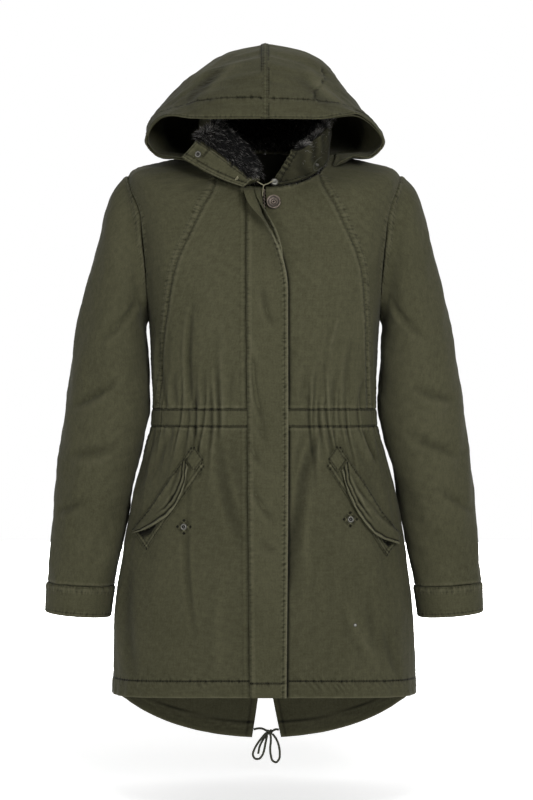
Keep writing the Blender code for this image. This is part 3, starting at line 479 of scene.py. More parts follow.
def add_mesh(name, points, faces, material, slot, uv=None, stands_for=None, **fields):
    """A smooth mesh with its values for each point, which may take the place of a solid of the model."""
    mesh = bpy.data.meshes.new(name)
    mesh.from_pydata((np.asarray(points) * MM).tolist(), [], np.asarray(faces, object).tolist())
    if uv is not None:
        corner = np.empty(len(mesh.loops), np.int32)
        mesh.loops.foreach_get("vertex_index", corner)
        layer = mesh.uv_layers.new(name="weave")
        layer.data.foreach_set("uv", (uv[corner] * MM).astype(np.float32).ravel())
    for field, values in fields.items():
        mesh.attributes.new(field, "FLOAT", "POINT").data.foreach_set("value", values.astype(np.float32))
    mesh.materials.append(material)
    mesh.shade_smooth()
    piece = place_object(name, mesh)
    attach(piece, "root")
    if stands_for:
        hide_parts(stands_for)
    return piece


def grid_faces(rows, columns, wrap, flip=False):
    """The faces between the points of a grid, row by row."""
    row = np.arange(rows - 1)[:, None] * columns
    column = np.arange(columns if wrap else columns - 1)[None, :]
    after = (column + 1) % columns
    corners = [row + column, row + after, row + columns + after, row + columns + column]
    return np.stack([corner.ravel() for corner in corners[:: -1 if flip else 1]], axis=1)


def edge_loops(rows, columns, wrap):
    """The grid's points round its edge, as closed loops."""
    low = np.arange(columns)
    high = (rows - 1) * columns + low
    if wrap:
        return [np.append(low, low[0]), np.append(high[::-1], high[-1])]
    up = np.arange(rows) * columns
    return [np.concatenate([low, (up + columns - 1)[1:], high[::-1][1:], up[::-1][1:]])]


def thinned(count, wrap=False):
    """The rows or columns that a cloth's inner face keeps."""
    return list(range(0, count - 1, INNER_STEP)) + [count if wrap else count - 1]


def inner_faces(names, wrap):
    """Large faces over a grid of point names, which keep every point of the grid's edge."""
    rows, columns = names.shape
    kept_rows, kept_columns = thinned(rows), thinned(columns, wrap)
    faces = []
    for r0, r1 in zip(kept_rows, kept_rows[1:]):
        for c0, c1 in zip(kept_columns, kept_columns[1:]):
            low = range(c0, c1 + 1) if r0 == 0 else (c0, c1)
            high = range(c1, c0 - 1, -1) if r1 == rows - 1 else (c1, c0)
            right = range(r0 + 1, r1) if not wrap and c1 == columns - 1 else ()
            left = range(r1 - 1, r0, -1) if not wrap and c0 == 0 else ()
            face = [(r0, c) for c in low] + [(r, c1) for r in right]
            face += [(r1, c) for c in high] + [(r, c0) for r in left]
            faces.append([int(names[r, c % columns]) for r, c in face])
    return faces


def cloth_piece(
    name, panel, material, inner=-CLOTH, outer=0.0, slot="olive_cloth",
    group="body", inside_shade_and_marks=None,
):
    """A panel as a closed wall of cloth with rounded edges, whose inner face has larger faces.

    The inside shade and marks say how dark the inner face is at each point: painted shade, and on the tail
    its stitches and puckers too.
    """
    rows, columns = panel.points.shape[:2]
    surface = panel.points + panel.normals * panel.relief[..., None]
    kept = np.zeros((rows, columns), bool)
    kept[np.ix_(thinned(rows), [c % columns for c in thinned(columns, panel.wrap)])] = True
    kept[[0, -1]] = True
    if not panel.wrap:
        kept[:, [0, -1]] = True
    edges = ENDS if panel.wrap else SIDES + ENDS
    rounding = np.max([bell(panel.edge(edge)[0], 1.1) for edge in edges], axis=0)
    spare = (outer - inner) * 0.2 * rounding
    panel.front = surface + panel.normals * (outer - spare)[..., None]
    back = surface + panel.normals * (inner + spare)[..., None]
    flip = float((grid_normals(panel.points, panel.wrap) * panel.normals).sum()) < 0
    turn = slice(None, None, -1 if flip else 1)
    names = np.zeros((rows, columns), int)
    names[kept] = rows * columns + np.arange(kept.sum())
    faces = grid_faces(rows, columns, panel.wrap, flip).tolist()
    for loop in edge_loops(rows, columns, panel.wrap):
        inside = names.ravel()[loop]
        faces += np.stack([loop[1:], loop[:-1], inside[:-1], inside[1:]], axis=1)[:, turn].tolist()
    faces += [face[::-1][turn] for face in inner_faces(names, panel.wrap)]
    uv = np.stack([panel.left, panel.low], axis=2)
    plain = np.zeros(kept.sum())
    inner_face_tone = plain if inside_shade_and_marks is None else -inside_shade_and_marks[kept]
    fields = {"wear": np.concatenate([np.clip(panel.wear, -1, 1).ravel(), inner_face_tone])}
    for way, held in panel.ladders.items():
        fields["ladder_" + way] = np.concatenate([held.ravel(), plain])
    points = np.concatenate([panel.front.reshape(-1, 3), back[kept]])
    piece = add_mesh(
        name, points, faces, material, slot, np.concatenate([uv.reshape(-1, 2), uv[kept]]), name, **fields)
    for edge, distance in panel.rows:
        stitch(group, *line_at(panel, edge, distance))
    width, length, area = panel.cut()
    area = min(area, width * length)


def line_at(panel, edge, distance):
    """The line on a finished panel at this distance from an edge, with the normals along it."""
    grids = [panel.edge(edge)[0], panel.front, panel.normals]
    if edge in ENDS:
        grids = [grid.swapaxes(0, 1) for grid in grids]
    lines = []
    for away, front, normals in zip(*grids):
        order = slice(None, None, 1 if away[0] < away[-1] else -1)
        if away.min() <= distance <= away.max():
            fields = np.concatenate([front, normals], axis=1)[order].T
            lines.append([np.interp(distance, away[order], field) for field in fields])
    return np.reshape(lines, (-1, 2, 3)).swapaxes(0, 1)


def stitch(group, points, normals):
    """The threads of a row of stitches along a line of a panel."""
    if len(points) < 2:
        return
    steps = run(points)
    centres = np.arange(STITCH, steps[-1] - STITCH, STITCH + STITCH_GAP)
    if not len(centres):
        return

    def at(field, past=0.0):
        return np.stack([np.interp(centres + past, steps, field[:, k]) for k in range(3)], axis=1)

    facing = unit(at(normals))
    along = unit(at(points, 0.5) - at(points) + facing * 0.02)
    side = np.cross(facing, along)
    middle = at(points) + facing * (0.12 - THREAD_SUNK)
    tips = [middle + way * STITCH / 2 - facing * 0.12 for way in (along, -along)]
    ring = [middle + side * THREAD_WIDTH / 2, middle + facing * 0.3, middle - side * THREAD_WIDTH / 2,
            middle - facing * 0.2]
    STITCHES.setdefault(group, []).append(np.stack(tips + ring, axis=1))


def sew_all():
    """One piece for each group of stitch rows."""
    for group, rows in STITCHES.items():
        threads = np.concatenate(rows)
        faces = THREAD_FACES[None] + (np.arange(len(threads)) * 6)[:, None, None]
        add_mesh("stitches_" + group, threads.reshape(-1, 3), faces.reshape(-1, 3), thread, "olive_cloth")


# -------------------- materials


class Nodes:
    """The nodes of a material or world. Each method returns the socket with its result."""

    def __init__(self, tree, end):
        self.tree = tree
        self.end = tree.nodes[end]

    def feed(self, node, inputs):
        """Sets a node's inputs to values, or links them to results."""
        for name, value in inputs.items():
            if isinstance(value, bpy.types.NodeSocket):
                self.tree.links.new(value, node.inputs[name])
            else:
                node.inputs[name].default_value = value

    def add(self, kind, output, inputs=None, **settings):
        node = self.tree.nodes.new("ShaderNode" + kind)
        for name, value in settings.items():
            setattr(node, name, value)
        self.feed(node, inputs or {})
        return node.outputs[output]

    def place(self):
        return self.add("TexCoord", "Object")

    def attribute(self, name):
        return self.add("Attribute", "Fac", attribute_name=name)

    def noise(self, place, scale, detail, limits=None, stretch=None):
        """Noise, which may be drawn out one way and fitted between two limits."""
        if stretch:
            place = self.add("Mapping", "Vector", {"Vector": place, "Scale": stretch})
        inputs = {"Vector": place, "Scale": scale, "Detail": detail, "Roughness": 0.55}
        value = self.add("TexNoise", "Fac", inputs)
        if not limits:
            return value
        ends = {"From Min": 0.25, "From Max": 0.75, "To Min": limits[0], "To Max": limits[1]}
        return self.add("MapRange", "Result", {"Value": value, **ends})

    def joined(self, operation, total, *others):
        for other in others:
            total = self.add("Math", 0, {0: total, 1: other}, operation=operation)
        return total

    def above_zero(self, value, factor):
        return self.joined("MAXIMUM", self.joined("MULTIPLY", value, factor), 0.0)

    def mix(self, share, *colours):
        first, second = [
            colour if isinstance(colour, bpy.types.NodeSocket) else (*colour, 1) for colour in colours]
        return self.add("Mix", 2, {0: share, 6: first, 7: second}, data_type="RGBA")

    def bump(self, height, distance):
        return self.add("Bump", "Normal", {"Strength": 0.8, "Distance": distance, "Height": height})


def new_material(name, values):
    material = bpy.data.materials.new(name)
    material.use_nodes = True
    nodes = Nodes(material.node_tree, "Principled BSDF")
    nodes.feed(nodes.end, values)
    return material, nodes


def cloth_material(name, dark, light, worn_and_lit):
    """Washed cotton twill: mottled colour, slubs along the warp, worn ridges, a diagonal rib and crumple,
    with painted highlights on ridges and painted shade in grooves, creases, puckers and recesses.
    """
    looks = {"Roughness": 0.88, "Specular IOR Level": 0.12, "Sheen Weight": 0.04, "Sheen Roughness": 0.5}
    material, nodes = new_material(name, looks)
    place, wear = nodes.place(), nodes.attribute("wear")
    weave = nodes.add("UVMap", "UV", uv_map="weave")
    bars = []
    for way, stretch in (("side", (0.3, 1, 1)), ("end", (1, 0.3, 1))):
        uneven = nodes.noise(weave, 260, 1, (-1, 1), stretch)
        bars.append(nodes.joined("MULTIPLY", uneven, nodes.attribute("ladder_" + way)))
    ladder = nodes.joined("ADD", *bars)
    mottle = [
        nodes.noise(place, 9, 2, (-0.16, 0.16)),
        nodes.noise(place, 95, 3, (-0.13, 0.13)),
        nodes.noise(place, 420, 2, (-0.22, 0.22)),
        nodes.noise(weave, 420, 3, (-0.16, 0.16), (1, 0.16, 1)),
        nodes.noise(weave, 330, 2, (-0.1, 0.1), (0.14, 1, 1)),
        # Painted light and shade on the puckers.
        nodes.joined("MULTIPLY", ladder, 0.5),
    ]
    tone = nodes.mix(nodes.joined("ADD", *mottle, 0.5), dark, light)
    # Paler where worn, and painted highlights on ridges and folded edges.
    rubbed_and_lit = nodes.joined("MULTIPLY", nodes.above_zero(wear, 0.6), nodes.noise(place, 600, 2, (0.35, 1.25)))
    # Painted shade in grooves, creases, recesses and pucker troughs.
    shaded = nodes.joined("ADD", nodes.above_zero(wear, -0.97), nodes.above_zero(ladder, -0.45))
    colour = nodes.mix(shaded, nodes.mix(rubbed_and_lit, tone, worn_and_lit), [0.12 * value for value in dark])
    rib = nodes.add("TexWave", "Fac", {"Vector": weave, "Scale": 190, "Distortion": 0.6},
                    wave_type="BANDS", bands_direction="DIAGONAL")
    heights = (
        (rib, 0.1), (nodes.noise(weave, 110, 3), 1.0), (nodes.noise(weave, 280, 4), 0.6),
        (nodes.noise(weave, 900, 2), 0.25), (ladder, 0.8),
    )
    height = nodes.joined("ADD", *[nodes.joined("MULTIPLY", value, factor) for value, factor in heights])
    nodes.feed(nodes.end, {"Base Color": colour, "Normal": nodes.bump(height, 0.0009)})
    return material


def pile_material():
    """Pile fibres, nearly black at the root and grey-green at the tip."""
    material, nodes = new_material("dark_pile_fibres", {"Roughness": 0.65, "Specular IOR Level": 0.12})
    wear = nodes.attribute("wear")
    colour = nodes.mix(nodes.joined("MULTIPLY", wear, wear), (0.0045, 0.0045, 0.0045), (0.55, 0.53, 0.50))
    nodes.feed(nodes.end, {"Base Color": colour})
    return material


def metal_material(name, dark, light):
    """Worn metal, nearly black in its hollows."""
    material, nodes = new_material(name, {"Metallic": 0.6})
    place = nodes.place()
    tone = nodes.mix(nodes.noise(place, 420, 4, (0, 1)), dark, light)
    colour = nodes.mix(nodes.attribute("wear"), tone, (0.008, 0.007, 0.006))
    nodes.feed(nodes.end, {"Base Color": colour, "Roughness": nodes.noise(place, 900, 3, (0.3, 0.6))})
    return material


def cord_material():
    """Round braid, with a fine relief of its strands."""
    material, nodes = new_material("braided_cord_olive", {"Roughness": 0.8})
    place = nodes.place()
    colour = nodes.mix(nodes.noise(place, 700, 3, (0, 1)), (0.020, 0.022, 0.013), (0.075, 0.076, 0.050))
    strands = nodes.add("TexVoronoi", "Distance", {"Vector": place, "Scale": 900})
    nodes.feed(nodes.end, {"Base Color": colour, "Normal": nodes.bump(strands, 0.0006)})
    return material


cloth = cloth_material("olive_twill", (0.044, 0.043, 0.0222), (0.082, 0.079, 0.0452), (0.190, 0.182, 0.118))
light_thread = cloth_material("light_thread", (0.20, 0.19, 0.12), (0.34, 0.32, 0.22), (0.4, 0.38, 0.3))
# The thread is darker than the cloth, so that it also carries painted shade of the needle holes.
thread = cloth_material("olive_thread", (0.030, 0.029, 0.016), (0.055, 0.053, 0.031), (0.10, 0.10, 0.07))
tape = cloth_material("zip_tape_woven", (0.030, 0.029, 0.022), (0.055, 0.052, 0.040), (0.1, 0.1, 0.08))
pile = pile_material()
bronze = metal_material("aged_bronze", (0.085, 0.066, 0.052), (0.29, 0.235, 0.19))
bright = metal_material("bright_nickel", (0.20, 0.20, 0.18), (0.38, 0.38, 0.35))
nickel = metal_material("worn_nickel", (0.09, 0.089, 0.078), (0.26, 0.255, 0.225))
braid = cord_material()


# -------------------- seams of the body

FRONT_EDGE_RIGHT, FRONT_EDGE_LEFT = -4.0, 1.0
VENT_LEVEL = 1.0
VENT_WIDTHS = {"left": 26.9, "right": -19.9}
HEM_BAND = 25.0
FLAP_BAND = 9.0
# The radius on which ripples and pleats are spaced round the body, and that of the flat cloth round metal.
BODY_RADIUS = 165
BODY_GIRTH = 2 * math.pi * BODY_RADIUS
METAL_CLEARANCE = 13
CREASE_STRENGTH = 2.6
DEEPEST_FOLD = 6.0
CASING_TOP_Z, WAIST_Z, CASING_LOW_Z = -366, -380, -393
# The pleats that show, by their x, and how far round the body the others begin.
WAIST_PLEATS = (-156, -127.5, -115, -103.6, -91.6, -80, -69, 65.6, 71.6, 80.6, 92.6, 103, 112, 122.5, 140)
PLEATS_FROM = 190


def side_angle(level):
    """The side seam and, above it, the armhole's front edge."""
    in_armhole = UNDERARM < level < SHOULDER_TIP
    return float(smooth(ARMHOLE[:, 0], ARMHOLE[:, 1], level)) if in_armhole else 90.0


def side_seam(angle):
    """A side seam of the skirt, which stays at one angle."""
    return lambda level: angle


def princess_seam(side):
    """One side's princess seam, as an angle for each level."""
    column = 1 if side > 0 else 2
    return lambda level: float(angle_at(side * smooth(PRINCESS[:, 0], PRINCESS[:, column], level), level))


def front_edge(x):
    """The straight edge of a front piece beside the zip, as an angle for each level."""
    return lambda level: float(angle_at(x, level))


def vent_edge(width):
    """One edge of the back vent, as an angle for each level: this far off centre at the hem."""
    return lambda level: 180 - float(
        angle_at(CENTRE_X + width * max(0.0, 1 - level / VENT_LEVEL) ** 1.3, level))


def skin_panel(start, end, low, high, share=1.0):
    """A panel of the body skin between two seams, each given as an angle for each level."""
    fine = np.linspace(low, high, 240)
    middle = np.array([(start(level) + end(level)) / 2 for level in fine])
    reach = (HEM_BAND + 3 if low == HEM else SEAM_REACH, SEAM_REACH)
    levels = low + (high - low) * seam_shares(torso(middle, fine), share * UP_STEP, reach)
    first = np.array([start(level) for level in levels])[:, None]
    last = np.array([end(level) for level in levels])[:, None]
    widest = np.argmax(np.abs(last - first))
    across = first[widest] + (last[widest] - first[widest]) * np.linspace(0, 1, 300)
    shares = seam_shares(torso(across, levels[widest]), share * ACROSS_STEP)
    angles = first + (last - first) * shares[None, :]
    grid_levels = np.broadcast_to(levels[:, None], angles.shape)
    panel = Panel(torso(angles, grid_levels), torso_normal(angles, grid_levels))
    panel.angles = angles
    return panel


def body_relief(panel, seed):
    """Folds of the body cloth: the placed creases, the gathers at the waist, and fine unevenness."""
    x, z = panel.x, panel.z
    in_front = np.cos(np.radians(panel.angles)) > 0
    placed = np.where(in_front, creases(x, z, FRONT_CREASES), creases(x, z, BACK_CREASES))
    around = np.radians(panel.angles) * BODY_RADIUS
    panel.relief += CREASE_STRENGTH * placed
    panel.relief += 0.5 * waves(around, z * 0.45, 60, seed) + 0.16 * waves(around, z * 0.5, 19, seed + 1)
    from_casing = np.minimum(np.abs(z - CASING_TOP_Z), np.abs(z - CASING_LOW_Z))
    gathers = pleats(panel)
    panel.relief += gathers
    panel.relief += ripple(around * (1 + from_casing / 900), 25, 33) * bell(from_casing, 66, 1.4)
    # Painted shade on the skirt below the waist, in the creases and between the gathers, painted highlights
    # on their ridges, and random tone.
    skirt_shade = 0.1 * soft_step(-z, 400, 470)
    panel.wear += 0.05 * waves(around, z, 12, seed + 2) + 0.3 * gathers + 0.18 * placed - skirt_shade
    panel.relief = DEEPEST_FOLD * np.tanh(panel.relief / DEEPEST_FOLD)
    for place_x, place_z in (STUD_PLACE, BUTTON_PLACE, SNAP_PLACES["left"], SNAP_PLACES["right"]):
        near = bell((x - place_x) ** 2 + (z - place_z) ** 2, METAL_CLEARANCE**2)
        panel.relief *= 1 - near * in_front
    add_flap_band(panel)


def add_flap_band(panel):
    """The stitched band beside the storm flap's sewn line, and the shadow at the flap's free edge."""
    sewn, width, roll = rows_at(FLAP_OUTER, panel.z)
    if np.cos(np.radians(panel.angles)).min() < 0:
        return
    past = panel.x - sewn - width * np.sin(roll) / roll
    # Painted shadow of the flap's free edge.
    panel.wear -= bell(past - 1.5, 2.4)
    away = sewn - 1 - panel.x
    if away.min() > 0 or away.max() < FLAP_BAND:
        return
    add_line(panel, away - 2.5, "side", 0.3, 0.15)
    add_line(panel, away - FLAP_BAND, "side", 0.2, 0.1)
    panel.wear += 0.1 * soft_step(away, 1, 3) * (1 - soft_step(away, FLAP_BAND - 3, FLAP_BAND - 1))
    # Painted shade along the sewn line.
    panel.wear -= 0.4 * bell(away, 1.2)


def pleats(panel):
    """Small sharp pleats that the waist's elastic draws in, all round."""
    random = np.random.default_rng(77)
    around = np.radians(panel.angles) * BODY_RADIUS
    above = panel.z - WAIST_Z
    places = [float(np.radians(angle_at(x, 5.5)) * BODY_RADIUS) for x in WAIST_PLEATS]
    hidden = np.arange(PLEATS_FROM, BODY_GIRTH - PLEATS_FROM, 15)
    places += list(hidden + random.uniform(-5, 5, len(hidden)))
    total = 0 * around
    for place in places:
        width, depth, up, down, slant = random.uniform((1.6, 1.4, 22, 24, -0.07), (2.4, 3.0, 62, 70, 0.07))
        for turn in (0, -BODY_GIRTH):
            across = (around - place - turn - slant * above) / width
            fade = bell(above, np.where(above > 0, up, down))
            total += depth * fade * (0.6 * bell(across - 2, 1) - bell(across, 1))
    return total


# The pieces of the body: the edges that each runs between, as angles for each level, its lowest and highest
# levels, and the kinds of its seams.
HIGH_RIGHT, HIGH_LEFT = front_edge(FRONT_EDGE_RIGHT), front_edge(FRONT_EDGE_LEFT)
SIDE_LEFT, SIDE_RIGHT, SIDE_RIGHT_BEHIND = side_seam(90.0), side_seam(-90.0), side_seam(270.0)
BODICE, SKIRT = (BAND_TOP, NECK), (HEM, BAND_LOW)
SEWN_ROUND = {"left": "felled", "right": "felled", "low": "gathered", "top": "plain"}
PANELS = {
    "front_side_right": (lambda level: -side_angle(level), princess_seam(-1), BODICE, SEWN_ROUND),
    "front_centre_right": (
        princess_seam(-1), HIGH_RIGHT, BODICE, {"left": "plain", "low": "gathered", "top": "plain"}),
    "front_centre_left": (
        HIGH_LEFT, princess_seam(1), BODICE, {"right": "plain", "low": "gathered", "top": "plain"}),
    "front_side_left": (princess_seam(1), side_angle, BODICE, SEWN_ROUND),
    "back_bodice": (
        lambda level: 180 - side_angle(level), lambda level: 180 + side_angle(level), BODICE, SEWN_ROUND),
    "skirt_front_left": (HIGH_LEFT, SIDE_LEFT, SKIRT, {"right": "felled", "top": "gathered"}),
    "skirt_front_right": (SIDE_RIGHT, HIGH_RIGHT, SKIRT, {"left": "felled", "top": "gathered"}),
    "skirt_back_left": (
        SIDE_LEFT, vent_edge(VENT_WIDTHS["left"]), SKIRT, {"left": "plain", "top": "gathered"}),
    "skirt_back_right": (
        vent_edge(VENT_WIDTHS["right"]), SIDE_RIGHT_BEHIND, SKIRT, {"right": "plain", "top": "gathered"}),
}
TAIL_VENTS = {"skirt_back_left": "right", "skirt_back_right": "left"}

# Creases of the front and the back: from x and z to x and z, width and depth.
FRONT_CREASES = (
    (-109, -205, -103, -402, 3.6, -2.3), (-103, -330, -100, -430, 3.0, -1.6),
    (-92, -305, -89, -362, 3.2, -1.3), (-95, -340, -93, -400, 3.0, 1.1), (-70, -285, -66, -368, 4.0, -1.0),
    (-48, -305, -52, -366, 4.0, -0.9), (-140, -310, -132, -372, 4.5, -1.1),
    (-158, -250, -150, -366, 4.5, -1.4), (-60, -250, -66, -330, 6.0, 0.8), (112, -225, 96, -300, 3.6, 1.3),
    (97, -290, 92, -362, 3.4, 1.3), (102, -262, 90, -345, 4.2, -1.0), (112, -300, 104, -366, 4.0, -0.9),
    (134, -262, 126, -366, 5.0, -1.2), (84, -290, 78, -366, 4.0, -0.8), (64, -300, 60, -366, 4.5, -0.8),
    (46, -250, 40, -366, 5.0, -0.7), (151, -318, 146, -372, 3.6, -1.5), (-70, -398, -32, -572, 8.0, -1.7),
    (-52, -400, -22, -520, 6.0, -0.9), (-101, -398, -98, -470, 3.2, -1.6), (-97, -400, -96, -720, 4.5, 1.0),
    (-104, -450, -102, -710, 5.0, -1.2), (-118, -396, -126, -440, 4.0, -1.0),
    (-140, -398, -170, -470, 6.0, -1.2), (-160, -396, -196, -500, 6.5, -1.6),
    (-205, -600, -197, -770, 9.0, -1.8), (-60, -600, -64, -770, 8.0, 0.8), (82, -400, 50, -520, 7.0, -2.2),
    (55, -500, 38, -640, 8.0, -2.4), (62, -398, 44, -470, 4.5, -1.2), (84, -398, 80, -450, 3.4, 1.3),
    (96, -398, 108, -450, 4.0, -1.1), (106, -400, 136, -470, 4.5, -1.2), (151, -396, 172, -447, 3.6, -2.9),
    (140, -398, 160, -450, 4.0, 1.0), (70, -480, 66, -620, 7.0, 1.0), (120, -652, 166, -742, 6.0, 1.3),
    (150, -640, 190, -760, 8.0, -0.9), (180, -690, 205, -770, 6.0, -1.2),
)
BACK_CREASES = (
    (-96, -250, -88, -366, 4.0, -1.8), (-52, -285, -48, -366, 4.0, -1.1), (-20, -240, -14, -366, 5.0, -1.0),
    (22, -280, 18, -366, 4.0, -1.2), (60, -235, 54, -366, 4.5, -1.7), (100, -270, 94, -366, 4.5, -1.3),
    (136, -250, 128, -366, 5.0, -1.4), (-138, -240, -128, -366, 5.0, -1.5),
    (-120, -90, -40, -140, 9.0, -1.0), (118, -96, 44, -150, 9.0, -1.0), (-86, -396, -70, -560, 6.5, -1.9),
    (-40, -398, -30, -500, 5.0, -1.0), (30, -396, 44, -540, 6.0, -1.5), (84, -398, 100, -600, 7.0, -2.0),
    (128, -396, 150, -520, 6.0, -1.3), (-130, -396, -156, -540, 6.0, -1.5),
    (-20, -600, -34, -760, 8.0, -1.3), (60, -560, 70, -740, 9.0, 1.4), (-110, -600, -124, -780, 9.0, 1.5),
)


def build_body():
    """The body's nine pieces, with their folds, seams and hems."""
    for seed, (name, (start, end, (low, high), seams)) in enumerate(PANELS.items()):
        panel = skin_panel(start, end, low, high, BACK_SHARE if "back" in name else 1.0)
        body_relief(panel, 100 + 7 * seed)
        for edge, kind in seams.items():
            add_seam(panel, edge, kind, 300 + 10 * seed + len(edge))
        if low == HEM:
            hem_relief(panel, seed)
        # The back's inner face darker towards the neck opening: painted shade there, and the dark lining of
        # the neck.
        inside_shade_and_marks = soft_step(panel.z, -260, -120) if name == "back_bodice" else None
        # The tail's inside: painted shade, with its stitch lines and puckers.
        if name in TAIL_VENTS:
            inside_shade_and_marks = tail_inside_shade_and_marks(panel, panel.edge(TAIL_VENTS[name])[0])
        cloth_piece(name, panel, cloth, inside_shade_and_marks=inside_shade_and_marks)


def tail_inside_shade_and_marks(panel, from_vent):
    """The tail's inside, which shows under the front hem: painted shade over it, and its turned-up edges,
    stitches and puckers.
    """
    inside_shade_and_marks = 0.2 + 0.7 * bell(panel.low - HEM_BAND, 1.7)
    inside_shade_and_marks += 0.5 * bell(from_vent - 9, 1.7) - 0.35 * bell(panel.low, 3)
    inside_shade_and_marks -= 0.25 * bell(panel.low - 15, 7) * ripple(panel.left + panel.low, 12, 760)
    return inside_shade_and_marks


def hem_relief(panel, seed):
    """The turned-up hem: a thicker band, a stitch groove above it and slanting puckers in it."""
    height = panel.low
    panel.relief += 0.6 * (1 - soft_step(height, HEM_BAND - 1, HEM_BAND + 1.5))
    add_row(panel, "low", HEM_BAND, 1.0, 0.8)
    slant = ripple(panel.left + 0.8 * height, 10.5, 700 + seed)
    slant *= 0.5 + 0.6 * waves(panel.left, height, 45, 740 + seed)
    panel.relief += 1.1 * slant * bell(height - HEM_BAND * 0.65, 12)
    panel.relief += 0.7 * ripple(panel.left, 34, 720 + seed) * bell(height, 30)
    rubbed_edge = 0.45 * bell(height, 2.0)
    # Paler along the rubbed edge, with painted light and shade on the slanting puckers.
    panel.wear += rubbed_edge + 0.4 * slant * bell(height - HEM_BAND * 0.8, 9)


def build_casings():
    """The waist casing, two rows of stitching over tight gathers."""
    spans = {
        "waist_casing_left": (HIGH_LEFT, SIDE_LEFT),
        "waist_casing_back": (SIDE_LEFT, SIDE_RIGHT_BEHIND),
        "waist_casing_right": (SIDE_RIGHT, HIGH_RIGHT),
    }
    for name, (start, end) in spans.items():
        panel = skin_panel(start, end, BAND_LOW, BAND_TOP)
        around = np.radians(panel.angles) * BODY_RADIUS
        middle = np.sin(np.pi * np.clip(panel.low / (panel.low[-1:] + 1e-6), 0, 1))
        gathers = pleats(panel)
        panel.relief += 0.9 * gathers + 0.8 * middle
        panel.relief += 0.5 * ripple(around + 0.3 * panel.low, 8, 45) * middle
        # Painted highlights on the gathers and painted shade between them.
        panel.wear += 0.25 * gathers
        for edge in ENDS:
            add_seam(panel, edge, "line", 460)
            add_row(panel, edge, 2.2, 0.4)
        cloth_piece(name, panel, cloth, -CLOTH, 1.0)


# -------------------- front closing

FLAP_TOP_LEVEL = 12.6
FLAP_REACH = 60


def flap_grid(table, heights, shares, out):
    """Points of a flap sewn along a line of the front, which rolls open towards its top."""
    z = np.asarray(heights, float)[:, None]
    share = np.asarray(shares, float)[None, :]
    sewn, width, roll = rows_at(table, z)
    turn = roll * share
    x = sewn + width * np.sin(turn) / roll
    lift = FLAP_LIFT_SHARE * width * (1 - np.cos(turn)) / roll
    angle, level = front_place(x, np.broadcast_to(z, x.shape))
    return torso(angle, level, out) + torso_normal(angle, level) * (1, 1, 0.3) * lift[..., None]


def build_flaps():
    """The storm flap and the fly layer under it."""
    ends = plain_torso(0, np.array([HEM, FLAP_TOP_LEVEL]))[:, 2]
    rows = int((ends[1] - ends[0]) / FRONT_STEP)
    heights = np.linspace(*ends, rows)
    for name, table, out, inner, outer in (
        ("storm_flap", FLAP_OUTER, 2.8, 0.0, 1.4), ("under_flap", FLAP_UNDER, 1.3, 0.0, 1.1),
    ):
        shares = seam_spacing(FLAP_REACH, FRONT_STEP) / FLAP_REACH
        panel = Panel(flap_grid(table, heights, shares, out))
        x, z = panel.x, panel.z
        if name == "storm_flap":
            placed = creases(x, z, FLAP_CREASES)
            panel.relief += 0.3 * waves(x, z, 50, 801) + 0.2 * waves(x, z, 15, 802) + 1.6 * placed
            # Painted shade in the creases.
            panel.wear += 0.26 * placed
            add_row(panel, "low", 22, 1.0, 0.6)
            panel.relief += 0.5 * ripple(x * 0.4 + z, 10, 803) * bell(np.abs(z - WAIST_Z), 34)
        add_seam(panel, "left", "plain", 810)
        add_seam(panel, "right", "folded", 811)
        puckers = ripple(panel.low + 0.6 * panel.right, 7.5, 812) * bell(panel.right - 6, 3.5)
        panel.relief += 0.4 * puckers
        # Painted light and shade on the puckers.
        panel.wear += 0.4 * puckers
        from_fold = x.max(axis=1, keepdims=True) - x
        # Painted highlight along the fold.
        panel.wear += 1.5 * bell(from_fold, 1.8)
        cloth_piece(name, panel, cloth, inner, outer)


FLAP_CREASES = (
    (-18, -280, 2, -402, 3.6, -1.7), (-12, -385, 4, -415, 4.0, -1.2), (-4, -180, 12, -245, 4.5, -1.4),
    (-28, -412, 12, -466, 4.5, -1.5), (-22, -472, 14, -536, 4.5, -1.3), (-10, -560, 16, -578, 6.0, -0.9),
    (-24, -250, -8, -300, 5.0, 0.8), (-14, -430, 14, -470, 5.0, 0.8), (-24, -600, -8, -700, 7.0, -0.6),
)


ZIP_TAPE_WIDTH = 13.0
ZIP_CHAIN_HALF_WIDTH = 1.7
ZIP_PITCH = 2.6
ZIP_TOOTH = (1.25, ZIP_PITCH * 0.36, 1.3)
BOX_FACES = ((0, 2, 3, 1), (4, 5, 7, 6), (0, 1, 5, 4), (2, 6, 7, 3), (0, 4, 6, 2), (1, 3, 7, 5))


def front_strip(heights, low_x, high_x, step):
    """A strip of the front between two upright lines."""
    x, z = np.meshgrid(np.linspace(low_x, high_x, max(4, int((high_x - low_x) / step))), heights)
    return Panel(*on_front(x, z))


